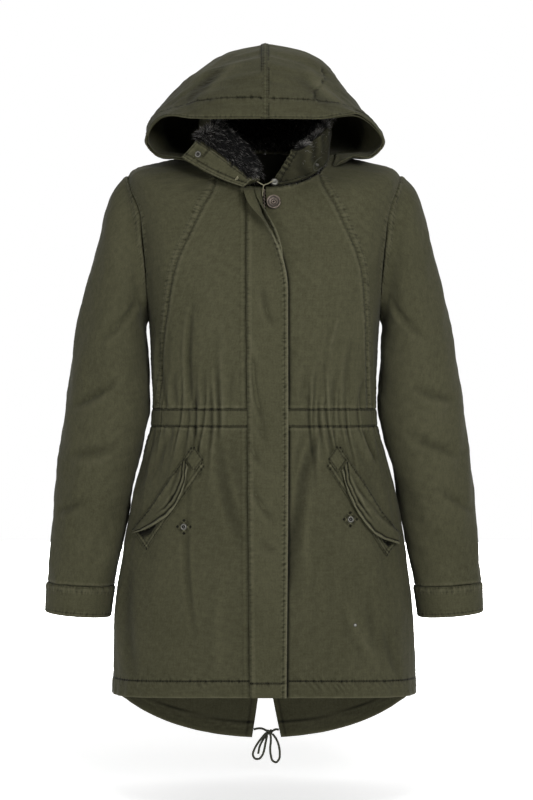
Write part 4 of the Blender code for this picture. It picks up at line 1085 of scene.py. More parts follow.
def build_zip():
    """The closed zip behind the front edges, of which the top shows."""
    middle = (FRONT_EDGE_LEFT + FRONT_EDGE_RIGHT) / 2
    chain = (middle - ZIP_CHAIN_HALF_WIDTH, middle + ZIP_CHAIN_HALF_WIDTH)
    heights = np.linspace(*plain_torso(0, np.array([0.5, 12.9]))[:, 2], 160)
    for name, low_x, high_x in (
        ("zip_tape_right", chain[0] - SEAM_GAP - ZIP_TAPE_WIDTH, chain[0] - SEAM_GAP),
        ("zip_tape_left", chain[1] + SEAM_GAP, chain[1] + SEAM_GAP + ZIP_TAPE_WIDTH),
    ):
        panel = front_strip(heights, low_x, high_x, GRID_STEP)
        cloth_piece(name, panel, tape, -4.2, -2.8, slot="zip_tape")
    teeth, faces = [], []
    for index, z in enumerate(np.arange(heights[0] + 2, heights[-1] - 2, ZIP_PITCH)):
        centre = on_front(middle + (0.5 if index % 2 else -0.5), z, -2.9)[0]
        facing = on_front(middle, z)[1]
        side = unit(np.cross(facing, (0, 0, 1)))
        up = np.cross(side, facing)
        faces += [[len(teeth) + corner for corner in corners] for corners in BOX_FACES]
        half_width, half_height, half_depth = ZIP_TOOTH
        teeth += [centre + side * half_width * i + up * half_height * j + facing * half_depth * k
                  for k in (-1, 1) for j in (-1, 1) for i in (-1, 1)]
    add_mesh("zip_chain", teeth, faces, bronze, "aged_metal", stands_for="zip_chain")


# -------------------- sleeves


def armhole_line(side, shares):
    """The armhole's edge, from the underarm up the front to the tip and down the back, and its normals."""
    levels = np.linspace(UNDERARM, SHOULDER_TIP, 200)
    fronts = smooth(ARMHOLE[:, 0], ARMHOLE[:, 1], levels)
    angles = side * np.concatenate([fronts, 180 - fronts[-2::-1]])
    levels = np.concatenate([levels, levels[-2::-1]])
    line = torso(angles, levels)
    steps = run(line)
    half = len(fronts) - 1
    keys = np.where(np.arange(len(line)) <= half, steps / steps[half] / 2,
                    0.5 + (steps - steps[half]) / (steps[-1] - steps[half]) / 2)
    angle = np.interp(shares, keys, angles)
    level = np.interp(shares, keys, levels)
    return torso(angle, level), torso_normal(angle, level)


def sleeve_ring(row, shares, side):
    """A sleeve ring as an ellipse; share 0 is its point nearest the body and 0.5 its outer point."""
    outer_x, outer_z, inner_x, inner_z, half_depth, centre_y = row
    outer = np.array([CENTRE_X + side * outer_x, centre_y, outer_z])
    inner = np.array([CENTRE_X + side * inner_x, centre_y, inner_z])
    turn = 2 * math.pi * np.asarray(shares)[:, None]
    forward = np.array([0, -half_depth, 0])
    return (outer + inner) / 2 + (inner - outer) / 2 * np.cos(turn) + forward * np.sin(turn)


SLEEVE_GIRTH, SLEEVE_RADIUS = 440, 70
CUFF_KEYS = (0, 24, 46)
# Creases of the sleeves' fronts, and of both their backs: from one place round and height to another, width
# and depth.
SLEEVE_CREASES = {
    "left": (
        (60, -200, 130, -260, 7, -2.6), (90, -330, 170, -350, 7, -3.0), (70, -400, 160, -430, 8, -3.0),
        (110, -480, 180, -520, 7, -2.2),
    ),
    "right": (
        (60, -200, 130, -260, 7, -2.6), (90, -320, 170, -360, 7, -3.0), (70, -420, 160, -430, 8, -3.0),
        (110, -500, 180, -520, 7, -2.2),
    ),
}
SLEEVE_BACK_CREASES = (
    (260, -180, 340, -250, 8, -2.4), (250, -330, 350, -350, 8, -3.0), (270, -420, 370, -440, 8, -2.6),
)


def build_sleeve(side_name, side, shares, across, forward):
    """The sleeve, from the armhole to the cuff; across and forward place its columns round its middle."""
    edge, edge_normals = armhole_line(side, shares)
    rings = [sleeve_ring(row, shares, side) for row in SLEEVE]
    stack = np.stack([edge + unit(rings[0] - edge) * SEAM_GAP] + rings)
    keys = np.concatenate([[0], np.cumsum(np.linalg.norm(np.diff(stack, axis=0), axis=2).mean(axis=1))])
    points = smooth(keys, stack, seam_spacing(keys[-1], GRID_STEP))
    normals = -side * grid_normals(points, wrap=True)
    same_way = (normals[0] * edge_normals).sum(axis=1, keepdims=True) > 0.75
    normals[0] = np.where(same_way, edge_normals, normals[0])
    panel = Panel(points, normals, wrap=True)
    around = shares[None, :] * SLEEVE_GIRTH + 0 * panel.x
    z = panel.z
    placed = creases(around, z, SLEEVE_CREASES[side_name]) + creases(around, z, SLEEVE_BACK_CREASES)
    panel.relief += 1.9 * placed
    # Painted shade in the creases.
    panel.wear += 0.08 * placed
    panel.relief += 0.9 * waves(across + forward * 0.4, z * 0.7 + forward * 0.8, 70, 1100 + side)
    panel.relief += 0.25 * waves(across - forward * 0.5, z * 0.8 + across * 0.6, 22, 1105 + side)
    panel.wear += 0.05 * waves(across + forward, z + forward * 0.3, 14, 1109 + side)
    add_seam(panel, "low", "felled", 1120 + side)
    add_seam(panel, "top", "gathered", 1121 + side)
    cloth_piece("sleeve_" + side_name, panel, cloth, group="sleeves")


def build_cuff(side_name, side, shares, across, forward):
    """The cuff, which puckers at its seam to the sleeve."""
    rings = np.stack([sleeve_ring(row, shares, side) for row in CUFF])
    points = smooth(CUFF_KEYS, rings, seam_spacing(CUFF_KEYS[-1], FRONT_STEP))
    panel = Panel(points, -side * grid_normals(points, wrap=True), wrap=True)
    panel.relief += 0.15 * waves(across, panel.z + forward, 34, 1130 + side)
    panel.relief += 0.8 * ripple(panel.left + 0.4 * panel.low, 11, 1131 + side) * bell(panel.low, 14)
    add_seam(panel, "low", "felled", 1132 + side)
    add_seam(panel, "top", "folded", 1133 + side)
    panel.wear += 0.6 * bell(panel.top, 1.5)
    cloth_piece("cuff_" + side_name, panel, cloth, -1.8, 1.0, group="sleeves")


# -------------------- hood

HOOD_LENGTH = 300
HOOD_FOOT_DROP = 0.2
HOOD_FOOT_LIFT = 2.8
STRIP_HALF_WIDTH = 6.5


def hood_grid(arch_shares, depth_shares, side):
    """Points of one half of the hood: columns go up each arch and rows go back from the face opening."""
    feet = torso(HOOD_NECK_ANGLES, NECK - HOOD_FOOT_DROP, HOOD_FOOT_LIFT)
    arches = np.concatenate([feet[:, None], HOOD_ARCHES], axis=1)
    rows = smooth(HOOD_KEYS, arches, np.asarray(depth_shares, float))
    half = np.stack([smooth(HOOD_ARCH_KEYS, row, np.asarray(arch_shares, float)) for row in rows])
    lean = smooth(HOOD_LEAN[:, 0], HOOD_LEAN[:, 1], half[..., 2])
    half[..., 0] = side * np.maximum(half[..., 0] * (1 - side * lean), SEAM_GAP / 2)
    return half


def hood_normals(points, side):
    """Normals of a hood half, kept in the centre plane along its centre seams."""
    normals = -side * grid_normals(points)
    normals[-1] = (0, 1, 0)
    normals[:, -1, 0] = 0
    return unit(normals)


def build_hood():
    """The hood's two halves, the strip over their seam and the brim's facing."""
    for name, side in (("hood_left", 1), ("hood_right", -1)):
        arches = seam_spacing(HOOD_LENGTH, GRID_STEP) / HOOD_LENGTH
        depths = seam_spacing(HOOD_LENGTH, GRID_STEP, (36, SEAM_REACH)) / HOOD_LENGTH
        points = hood_grid(arches, depths, side)
        panel = Panel(points, hood_normals(points, side))
        y, z = panel.y, panel.z
        panel.relief += 1.6 * waves(y, z, 80, 1500 + side) + 0.6 * waves(y, z, 26, 1510 + side)
        panel.relief *= soft_step(panel.right, 0, 12) * soft_step(panel.top, 0, 10)
        # Painted shade on the hood below the crown, and random tone.
        panel.wear += 0.05 * waves(y, z, 15, 1520 + side) - 0.16 * (1 - soft_step(z, 110, 185))
        dart = creases(panel.x, z, HOOD_CREASES[name])
        panel.relief += dart
        # Painted shade along the sewn line and in the folds, and painted highlight on the raised folds.
        panel.wear += 0.35 * dart
        panel.ladders["side"] = np.maximum(panel.ladders["side"], np.clip(-0.5 * dart, 0, 1))
        add_row(panel, "low", 33, 1.0, 0.6)
        puckers = 0.9 * ripple(panel.left + panel.low * 0.5, 12, 1530)
        panel.relief += puckers * bell(panel.low - 30, 9)
        add_seam(panel, "low", "turned", 1540 + side)
        # Painted highlight along the brim's edge.
        panel.wear += 0.9 * bell(panel.low, 1.6)
        add_seam(panel, "left", "felled", 1550 + side)
        cloth_piece(name, panel, cloth, group="hood")
    build_hood_strip()
    build_hood_facing()


# The line sewn down one side of the hood, and the soft folds over its brim and at its foot.
HOOD_CREASES = {
    "hood_left": (
        (85, 156, 93, 138, 1.6, -2.4), (93, 139, 84, 121, 1.6, -2.4), (85, 122, 73, 106, 1.6, -2.4),
        (73, 107, 81, 88, 1.6, -2.2), (104, 30, 152, 6, 4.5, -2.2), (98, 14, 140, -12, 5.0, 1.6),
        (60, 150, 120, 90, 9.0, 1.4),
    ),
    "hood_right": (
        (-104, 28, -152, 8, 4.5, -2.0), (-98, 12, -140, -12, 5.0, 1.6), (-60, 150, -122, 88, 9.0, -1.2),
        (-30, 165, -90, 104, 7.0, 1.0),
    ),
}


def build_hood_strip():
    """The felled strip over the centre seam, from the brim to the back of the head."""
    depths = np.linspace(0, 0.93, 130)
    edges = []
    for side in (-1, 1):
        crown = hood_grid((0.91, 1), depths, side)
        slope = (crown[:, 0] - crown[:, 1]) / np.abs(crown[:, :1, 0])
        edges.append(crown[:, 1] + slope * STRIP_HALF_WIDTH)
    centre = crown[:, 1] * (0, 1, 1)
    share = np.linspace(-1, 1, 15)[None, :, None]
    points = np.where(share < 0, centre[:, None] + (edges[0] - centre)[:, None] * -share,
                      centre[:, None] + (edges[1] - centre)[:, None] * share)
    panel = Panel(points)
    puckers = ripple(panel.low, 7, 1600) * np.sin(np.pi * (share[..., 0] + 1) / 2)
    panel.relief += 0.5 * puckers
    # Painted light and shade on the puckers.
    panel.wear += 0.2 * puckers
    for edge in SIDES:
        add_row(panel, edge, 1.2, 0.7, 0.6)
        add_row(panel, edge, 4.2, 0.7, 0.3)
    cloth_piece("hood_strip", panel, cloth, -0.4, 0.5, group="hood")


def build_hood_facing():
    """The brim's inner facing, one band round the face opening."""
    depths = np.linspace(0.004, 0.11, 12)
    arches = np.linspace(0.08, 1, 90)
    right, left = [hood_grid(arches, depths, side) for side in (-1, 1)]
    whole = np.concatenate([right[:, :-1], right[:, -1:] * (0, 1, 1), left[:, -2::-1]], axis=1)
    panel = Panel(whole)
    panel.relief += 0.3 * ripple(panel.left, 12, 1620) * bell(panel.top, 8)
    cloth_piece("hood_facing", panel, cloth, -CLOTH - 2.2, -CLOTH - 1.0)


# -------------------- collar

COLLAR_FUR_RANGE = (1.0, 13.0)
BUTTONHOLE_HEIGHT = 0.27


def collar_feet(stations):
    """The collar's lower edge: round the neck seam, and off it where the right front is rolled open."""
    first = len(COLLAR_OPEN_FEET)
    ring_stations = np.arange(first, first + len(COLLAR_NECK_ANGLES))
    ring = torso(smooth(ring_stations, COLLAR_NECK_ANGLES, stations), NECK, COLLAR_FOOT_LIFT)
    corner = torso(COLLAR_NECK_ANGLES[:1], NECK, COLLAR_FOOT_LIFT)
    rolled = smooth(np.arange(first + 1), np.concatenate([COLLAR_OPEN_FEET, corner]), stations)
    return np.where((stations < first)[:, None], rolled, ring)


def collar_grid(stations, heights):
    """Points of the collar's inner face at these stations and shares of its height."""
    stations = np.asarray(stations, float)
    feet = collar_feet(stations)
    posts = np.concatenate([feet[:, None], smooth(np.arange(len(COLLAR)), COLLAR, stations)], axis=1)
    return np.stack([smooth(COLLAR_HEIGHTS, post, np.asarray(heights, float)) for post in posts], axis=1)


def collar_panel(first, last, low, high):
    """Rows go up and columns go from the wearer's right front, round the back."""
    fine = np.linspace(first, last, 400)
    stations = first + (last - first) * seam_shares(collar_grid(fine, [0.7])[0], FRONT_STEP)
    heights = low + (high - low) * seam_spacing(90 * (high - low), FRONT_STEP) / (90 * (high - low))
    panel = Panel(collar_grid(stations, heights))
    panel.stations = stations
    return panel


def build_collar():
    """The collar and the facings of its two fronts."""
    panel = collar_panel(0, 14, 0, 1)
    panel.normals = -panel.normals
    broad = 0.9 * waves(panel.left, panel.low, 40, 1700)
    panel.relief += broad + 0.5 * waves(panel.left, panel.low, 14, 1701)
    crumple = bell(panel.right, 15, 4)
    tucks = crumple * ripple(panel.low + 0.5 * panel.right, 8, 1702)
    folds = ripple(panel.right + 0.6 * panel.low, 30, 1703) * bell(panel.right - 55, 35)
    panel.relief += 1.5 * tucks + 1.8 * folds
    # Painted light and shade on the tucks and folds, and the hood's painted shadow over the collar from the
    # back round to its left front.
    panel.wear += 0.6 * tucks + 0.35 * folds - 0.6 * soft_step(panel.left, 150, 220)
    # Painted highlight along the folded left front edge.
    panel.wear += 1.2 * bell(panel.right, 1.6) * soft_step(panel.low, 6, 20)
    for edge in SIDES + ENDS:
        add_seam(panel, edge, "folded" if edge == "low" else "turned", 1705)
    add_row(panel, "right", 12)
    cloth_piece("collar", panel, cloth, 0.0, CLOTH)
    for name, first, last in (("collar_facing_right", 0.05, 0.95), ("collar_facing_left", 13.15, 13.95)):
        panel = collar_panel(first, last, 0.01, 0.99)
        panel.relief += 0.6 * waves(panel.left, panel.low, 22, 1710)
        panel.relief += 0.5 * ripple(panel.low + 0.3 * panel.left, 9, 1711) * bell(panel.left, 9)
        for edge in SIDES + ENDS:
            add_seam(panel, edge, "turned", 1720)
            panel.wear += 1.6 * bell(panel.edge(edge)[0], 1.5)
        add_row(panel, "left", 7.5)
        add_row(panel, "top", 24)
        cloth_piece(name, panel, cloth, 0.4, 1.9, group="collar")
        if name == "collar_facing_right":
            build_buttonhole(panel)


def tube(name, route, radius, material, slot, closed=False, around=8, stands_for=None):
    """A round tube along a line of points."""
    route = np.asarray(route, float)
    ahead = np.roll(route, -1, axis=0) - np.roll(route, 1, axis=0) if closed else np.gradient(route, axis=0)
    along = unit(ahead)
    side = unit(np.cross(along, (0.2, 1, 0.1)))
    up = np.cross(side, along)
    turn = np.linspace(0, 2 * math.pi, around, endpoint=False)[None, :, None]
    points = route[:, None] + (side[:, None] * np.cos(turn) + up[:, None] * np.sin(turn)) * radius
    rows = len(route)
    faces = grid_faces(rows, around, True).tolist()
    if closed:
        last = (rows - 1) * around + np.arange(around)
        first = np.arange(around)
        faces += np.stack([last, np.roll(last, -1), np.roll(first, -1), first], axis=1).tolist()
    else:
        faces += [list(range(around)), list(range((rows - 1) * around, rows * around))[::-1]]
    return add_mesh(name, points.reshape(-1, 3), faces, material, slot, stands_for=stands_for)


def build_buttonhole(panel):
    """The worked buttonhole of the open collar front, in light thread."""
    turn = np.linspace(0, 2 * math.pi, 40, endpoint=False)
    across = 0.46 + 0.17 * np.cos(turn)
    up = BUTTONHOLE_HEIGHT + 0.011 * np.sin(turn)
    rows = np.interp(up, np.linspace(0, 1, len(panel.low)), np.arange(len(panel.low)))
    columns = np.interp(across, (panel.stations - panel.stations[0]) / np.ptp(panel.stations),
                        np.arange(len(panel.stations)))
    at = rows.round().astype(int), columns.round().astype(int)
    route = panel.points[at] + panel.normals[at] * 2.0
    smooth_route = (np.roll(route, 1, axis=0) + route + np.roll(route, -1, axis=0)) / 3
    tube("buttonhole", smooth_route, 0.55, light_thread, "olive_cloth", closed=True)


def build_fur():
    """The collar's pile: a dark backing, fibres that lean with the nap, and longer ones over the top."""
    first, last = COLLAR_FUR_RANGE
    panel = collar_panel(first + 0.03, last + 0.08, 0.06, 1.0)
    random = np.random.default_rng(5)
    count, rim = ((21000, 9000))
    rows, columns = panel.points.shape[:2]
    row = np.concatenate([random.uniform(0, rows - 1.001, count), rows - 1.001 - random.uniform(0, 5, rim)])
    column = random.uniform(0, columns - 1.001, count + rim)
    low_row, low_column = row.astype(int), column.astype(int)
    r, c = (row - low_row)[:, None], (column - low_column)[:, None]

    def at(field):
        lower = field[low_row, low_column] * (1 - c) + field[low_row, low_column + 1] * c
        upper = field[low_row + 1, low_column] * (1 - c) + field[low_row + 1, low_column + 1] * c
        return lower * (1 - r) + upper * r

    base, facing = at(panel.points), unit(at(panel.normals))
    up = unit(at(np.gradient(panel.points, axis=0)))
    over = np.concatenate([np.zeros(count), random.uniform(0.2, 1, rim)])[:, None]
    clump = np.stack([waves(base[:, 0], base[:, 2] + base[:, 1], 11, 40 + k, 1) for k in range(3)], axis=1)
    drop = np.array([0.25, 0, -0.2]) * (1 - over) * (base[:, :1] < 15)
    nap = facing * (0.75 - 0.55 * over) + up * (1.7 * over - 0.55) + drop
    way = unit(nap + clump * 0.5 + random.normal(0, 0.2, nap.shape))
    length = (random.uniform(8, 14, count + rim) + 5 * over[:, 0])[:, None]
    side = unit(np.cross(way, random.normal(0, 1, nap.shape))) * random.uniform(0.2, 0.5, (count + rim, 1))
    root = base + facing * (1 - over) * 2.0
    middle = root + way * length * 0.55
    tip = middle + unit(way + np.array([0, 0, -0.6]) * (1 - over) + clump * 0.4) * length * 0.45
    points = np.stack([root - side, root + side, middle + side * 0.8, middle - side * 0.8, tip], axis=1)
    faces = (np.arange(count + rim) * 5)[:, None]
    quads = (faces + np.array([[0, 1, 2, 3]])).tolist()
    tips = (faces + np.array([[3, 2, 4]])).tolist()
    # The long fibres over the top edge are paler: a painted highlight on top of each fibre's random tone.
    paleness = random.uniform(-0.4, 1, (count + rim, 1)) + 0.35 * over + 0.35 * clump[:, :1]
    pale = np.clip(paleness, 0, 1) ** 1.5
    wear = np.array([0.0, 0.0, 0.5, 0.5, 1.0]) * (0.15 + 0.85 * pale)
    points = points.reshape(-1, 3)
    fibres = add_mesh("collar_pile", points, quads + tips, pile, "dark_pile", wear=wear.ravel())
    cloth_piece("collar_fur", panel, pile, 1.2, 3.4, slot="dark_pile")


# -------------------- pockets

POCKET_LENGTH = 160


def pocket_place(side_name, along, across):
    """x and z of a point of the pocket, by its share of the way down and its distance across."""
    sign = 1 if side_name == "left" else -1
    top, foot = POCKET_ENDS[side_name]
    x = top[0] + (foot[0] - top[0]) * along + POCKET_ACROSS[0] * across
    z = top[1] + (foot[1] - top[1]) * along + POCKET_ACROSS[1] * across
    return sign * x, z


def pocket_panel(side_name, alongs, acrosses, lifts):
    """A panel along the pocket's slant, this far off the front."""
    return Panel(*on_front(*pocket_place(side_name, alongs, acrosses), lifts))


def build_pocket_welt(side_name, table):
    """The pocket's sewn patch, with painted shade in the mouth under its flap."""
    shares = seam_spacing(POCKET_LENGTH, FRONT_STEP) / POCKET_LENGTH
    along, across = np.meshgrid(shares, seam_spacing(POCKET_WIDTH, 1.6), indexing="ij")
    panel = pocket_panel(side_name, along, across, np.zeros_like(along))
    flap_reach = 2 + smooth(table[:, 0], table[:, 1], along)
    shaded_mouth = soft_step(across - flap_reach, -7, -2) * (1 - soft_step(across - flap_reach, 3, 10))
    shaded_mouth *= 1 - soft_step(across, POCKET_WIDTH - 11, POCKET_WIDTH - 8)
    shaded_mouth *= soft_step(along, 0.3, 0.7) * (1 - soft_step(along, 0.94, 0.99))
    panel.relief += 0.5 * waves(panel.left, panel.low, 24, 1800) - 1.6 * shaded_mouth
    panel.relief += 1.3 * shaded_mouth * ripple(across + 0.5 * along * POCKET_LENGTH, 7, 1801)
    # Painted shade in the mouth.
    panel.wear -= shaded_mouth
    for edge in SIDES + ENDS:
        add_row(panel, edge, 2.0, 0.8, 0.5)
        add_row(panel, edge, 7.5, 0.6, 0.35)
        panel.wear += 0.35 * bell(panel.edge(edge)[0] - 4.6, 1.6) * (1 - shaded_mouth)
    cloth_piece("pocket_welt_" + side_name, panel, cloth, 1.2, 2.4, group="pockets")


def build_pocket_box(side_name):
    """The stitched box at the pocket's head."""
    along, across = np.meshgrid(np.linspace(-0.03, 0.13, 24), np.linspace(4, 28, 24), indexing="ij")
    panel = pocket_panel(side_name, along, across, np.zeros_like(along))
    panel.relief += 0.5 * waves(panel.left, panel.low, 9, 1803)
    for edge in SIDES + ENDS:
        add_row(panel, edge, 2.0, 0.6, 0.5)
    cloth_piece("pocket_box_" + side_name, panel, cloth, 2.8, 3.8, group="pockets")


def build_pocket_flap(side_name, table):
    """The curled flap over the pocket's mouth."""
    share = np.broadcast_to(np.linspace(0.14, 0.98, 84)[:, None], (84, 30))
    reach, lift = rows_at(table, share)
    width = np.linspace(0, 1, 30)[None, :]
    panel = pocket_panel(side_name, share, 2 + reach * width, 3.2 + lift * width**1.5)
    placed = creases(panel.x, panel.z, POCKET_FLAP_CREASES[side_name])
    away = panel.right + 1.3 * waves(panel.low, panel.left, 48, 1832)
    upper = 1 - soft_step(share, 0.5, 0.72)
    strands = 0
    for place, wide, height, where in FLAP_STRANDS:
        strands = strands + height * bell(away - place, wide) * (upper if where == "upper" else 1)
    panel.relief += 0.6 * placed + 1.4 * strands + 0.5 * waves(panel.left, panel.low, 14, 1830)
    # Painted shade in the creases, painted highlights on the strands' ridges and painted shade between them.
    panel.wear += 0.15 * placed + strands
    add_row(panel, "left", 1.8)
    cloth_piece("pocket_flap_" + side_name, panel, cloth, 0.0, 1.6, group="pockets")


# The curled flap's strands: how far each lies from the free edge, its width and height, and where it runs.
# The height also paints a highlight on each ridge and shade in each hollow.
FLAP_STRANDS = (
    (2.0, 1.8, 1.0, "whole"),
    (5.8, 1.5, -1.2, "whole"),
    (9.6, 2.0, 0.6, "upper"),
    (13.2, 1.6, -1.2, "upper"),
    (16.5, 2.0, 0.4, "upper"),
)
POCKET_FLAP_CREASES = {
    "right": (
        (-122, -446, -140, -486, 2.4, -3.0), (-139, -482, -141, -510, 2.2, -2.4),
        (-113, -452, -128, -486, 2.2, 2.0), (-128, -470, -150, -500, 2.6, -1.4),
    ),
    "left": (
        (130, -466, 161, -511, 2.4, -3.0), (158, -507, 199, -548, 2.4, -2.6),
        (124, -470, 150, -512, 2.4, 1.8), (122, -452, 134, -470, 2.2, -2.0),
    ),
}


def build_snap_patch(side_name):
    """The small square patch, on its point, that the pocket's snap is set through."""
    centre_x, centre_z = SNAP_PLACES[side_name]
    half = SNAP_PATCH / 2
    steps = np.linspace(-half, half, 20)
    across, up = np.meshgrid(steps, steps)
    turned = math.sqrt(0.5)
    panel = Panel(*on_front(centre_x + (across - up) * turned, centre_z + (across + up) * turned))
    for edge in SIDES + ENDS:
        away = panel.edge(edge)[0]
        add_row(panel, edge, 2.6, 0.4, 0.5)
        panel.wear += 0.7 * bell(away - 4.8, 0.9) - 0.6 * bell(away, 1.3)
    cloth_piece("snap_patch_" + side_name, panel, cloth, 0.5, 1.9, group="pockets")


# -------------------- hardware

SNAP_PROFILE = (
    (0, 2.2), (0.8, 2.1), (1.1, 1.2), (2.4, 1.1), (2.7, 2.2), (3.3, 2.5), (4.1, 2.4), (4.7, 1.8), (5.0, 0.9),
    (5.0, 0),
)
BUTTON_PROFILE = (
    (0, 2.2), (1.3, 2.2), (1.7, 3.2), (2.9, 3.5), (3.3, 2.5), (3.9, 2.4), (4.6, 3.3), (6.8, 3.4), (8.2, 3.2),
    (9.0, 4.0), (10.2, 4.2), (10.8, 3.4), (11.0, 2.0), (10.8, 0.9), (10.4, 0),
)
STUD_PROFILE = ((0, 1.6), (1.2, 1.5), (2.0, 1.1), (2.6, 0.6), (2.7, 0))
SOCKET_PROFILE = ((0, 2.6), (2.4, 2.6), (3.2, 3.0), (4.4, 3.0), (5.4, 2.2), (5.8, 1.0), (5.8, 0))
HOOD_BUTTON_PLACE = (11.7, 0.16)
HOOD_BUTTON_PROFILE = ((0, 3.0), (1.6, 3.0), (2.4, 2.7), (3.1, 2.0), (3.4, 1.2), (3.0, 0.5), (2.2, 0))
HOOD_LOOP = (
    (-0.22, 0.12), (-0.08, 0.15), (0.1, 0.12), (0.18, 0.01), (0.15, -0.09), (0, -0.13), (-0.16, -0.13),
)
HOOD_LOOP_CORD = 1.8
TURNED_STEPS = 64


def turned_piece(name, profile, place, normal, material, in_model=True):
    """A turned piece that stands on a point of the cloth, facing along its normal."""
    steps = TURNED_STEPS
    normal = unit(np.asarray(normal, float))
    side = unit(np.cross(normal, (0, 0, 1)))
    up = np.cross(side, normal)
    turn = np.linspace(0, 2 * math.pi, steps, endpoint=False)[:, None]
    points = [place + normal * profile[0][1]]
    for radius, height in profile[1:]:
        ring = place + normal * height + (side * np.cos(turn) + up * np.sin(turn)) * radius
        points.extend(ring)
    points.append(place)
    faces = []
    rings = len(profile) - 1
    for step in range(steps):
        after = (step + 1) % steps
        faces.append((0, 1 + after, 1 + step))
        for ring in range(rings - 1):
            low, high = 1 + ring * steps, 1 + (ring + 1) * steps
            faces.append((low + step, low + after, high + after, high + step))
        last = 1 + (rings - 1) * steps
        faces.append((last + step, last + after, len(points) - 1))
    radii, heights = np.array(profile).T
    around = [heights[np.abs(radii - radius) < 3.5].max() for radius in radii]
    sunk = np.clip((around - heights) / 1.1, 0, 1)
    wear = np.concatenate([sunk[:1], np.repeat(sunk[1:], steps), [0.0]])
    stands_for = name if in_model else None
    add_mesh(name, points, faces, material, "aged_metal", stands_for=stands_for, wear=wear)


def collar_outside(station, height, out):
    """A point this far off the collar's outer face, with the way out."""
    grid = collar_grid(station + np.array((-0.05, 0, 0.05)), height + np.array((-0.02, 0, 0.02)))
    outward = -grid_normals(grid)[1, 1]
    return grid[1, 1] + outward * (CLOTH + out), outward


def build_hardware():
    """The turned metal pieces: buttons, snaps and the stud."""
    for name, place, profile, out in (
        ("front_button", BUTTON_PLACE, BUTTON_PROFILE, 0.3),
        ("skirt_stud", STUD_PLACE, STUD_PROFILE, 0.3),
        ("pocket_snap_right", SNAP_PLACES["right"], SNAP_PROFILE, 1.7),
        ("pocket_snap_left", SNAP_PLACES["left"], SNAP_PROFILE, 1.7),
    ):
        material = {"front_button": bronze, "skirt_stud": bright}.get(name, nickel)
        turned_piece(name, profile, *on_front(*place, out), material)
    facing = collar_grid((0.4, 0.5, 0.6), (0.8, 0.84, 0.88))
    normal = grid_normals(facing)[1, 1]
    turned_piece("collar_snap", SNAP_PROFILE, facing[1, 1] + normal * 2.3, normal, nickel)
    facing = collar_grid((13.8, 13.9, 14.0), (0.06, 0.1, 0.14))
    normal = grid_normals(facing)[1, 1]
    outside = facing[1, 1] - normal * (CLOTH + 1)
    turned_piece("collar_snap_socket", SOCKET_PROFILE, outside, -normal, nickel, in_model=False)
    station, height = HOOD_BUTTON_PLACE
    face, outward = collar_outside(station, height, SEAM_GAP)
    turned_piece("hood_button", HOOD_BUTTON_PROFILE, face, outward, nickel)


# -------------------- cords


def add_cord(name, route, diameter, **lay):
    """A round cord along a smooth curve through the points."""
    route = np.asarray(route, float)
    steps = run(route)
    fine = smooth(steps, route, np.linspace(0, steps[-1], int(steps[-1] / CORD_STEP)))
    curve = bpy.data.curves.new(name, "CURVE")
    curve.dimensions = "3D"
    curve.bevel_depth = diameter * MM / 2
    curve.bevel_resolution = 4
    curve.use_fill_caps = True
    spline = curve.splines.new("POLY")
    spline.points.add(len(fine) - 1)
    for point, place in zip(spline.points, fine):
        point.co = (*(place * MM), 1)
    curve.materials.append(braid)
    cord = place_object(name, curve)
    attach(cord, "root")
    length = float(run(fine)[-1]) * MM
    return cord


def strand(name):
    """The points of one strand, in its plane behind the coat's middle."""
    behind, places = CORD_STRANDS[name]
    return [(x, CORD_Y + behind, z) for x, z in places]


def build_cords():
    """The drawcord's three lengths, and the loop round the hood's button."""
    inside = (KNOT_PLACE[0], CORD_Y, KNOT_PLACE[1])
    right = strand("cord_tie_right") + [inside] + strand("cord_loop_right")
    left = strand("cord_tie_left") + [inside] + strand("cord_loop_left")
    for name, route, far_end, nodes in (
        ("drawcord_right", right, "knot", ("cord_tie_right", "cord_loop_right")),
        ("drawcord_left", left, "knot", ("cord_tie_left", "cord_loop_left")),
        ("drawcord_end", [inside] + strand("cord_end"), "bare", ("cord_end",)),
    ):
        cord = add_cord(name, route, CORD, far_end=far_end, stiffness="limp", lay="hanging")
        for node in nodes:
            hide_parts(node)
    station, height = HOOD_BUTTON_PLACE
    off = SEAM_GAP + HOOD_LOOP_CORD / 2 + 0.4
    route = [collar_outside(station + along, height + up, off)[0] for along, up in HOOD_LOOP]
    loop = add_cord("hood_loop", route, HOOD_LOOP_CORD, far_end="object", stiffness="medium", lay="loose")
    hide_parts("hood_loop")


def build_knot():
    """The drawcord's knot: strands that pass over one another."""
    turn = np.linspace(0, 2 * math.pi, 60, endpoint=False)
    wide, deep, tall = (size - CORD / 2 for size in KNOT_SIZE)
    route = np.array([KNOT_PLACE[0], CORD_Y, KNOT_PLACE[1]]) + np.stack([
        wide * 0.9 * np.sin(turn), deep * 0.8 * np.sin(3 * turn), tall * 0.9 * np.sin(2 * turn)], axis=1)
    tube("cord_knot", route, CORD / 2, braid, "braided_cord", closed=True, around=12, stands_for="cord_knot")


NECK_PIPING = (
    ((-16, -115, -24), (-9, -114, -28), (-1.8, -113, -32)),
    ((12, -114, -25), (5, -114, -29), (-1.8, -113, -32), (-3.4, -112.5, -40), (-3.8, -112.5, -48)),
)


def build_piping():
    """The bound edges of the two fronts, where they meet at the foot of the neck."""
    for number, places in enumerate(NECK_PIPING):
        steps = np.linspace(0, len(places) - 1, 30)
        route = smooth(np.arange(len(places)), np.array(places, float), steps)
        tube(f"neck_piping_{number}", route, 0.75, light_thread, "olive_cloth")


# -------------------- stage and light

FLOOR_Z = -0.956
FLOOR_GLOW = 0.54
FLOOR_HALF_WIDTH, FLOOR_NEAR, FLOOR_FAR = 2.6, -2.5, 5.4
AMBIENT = 0.09
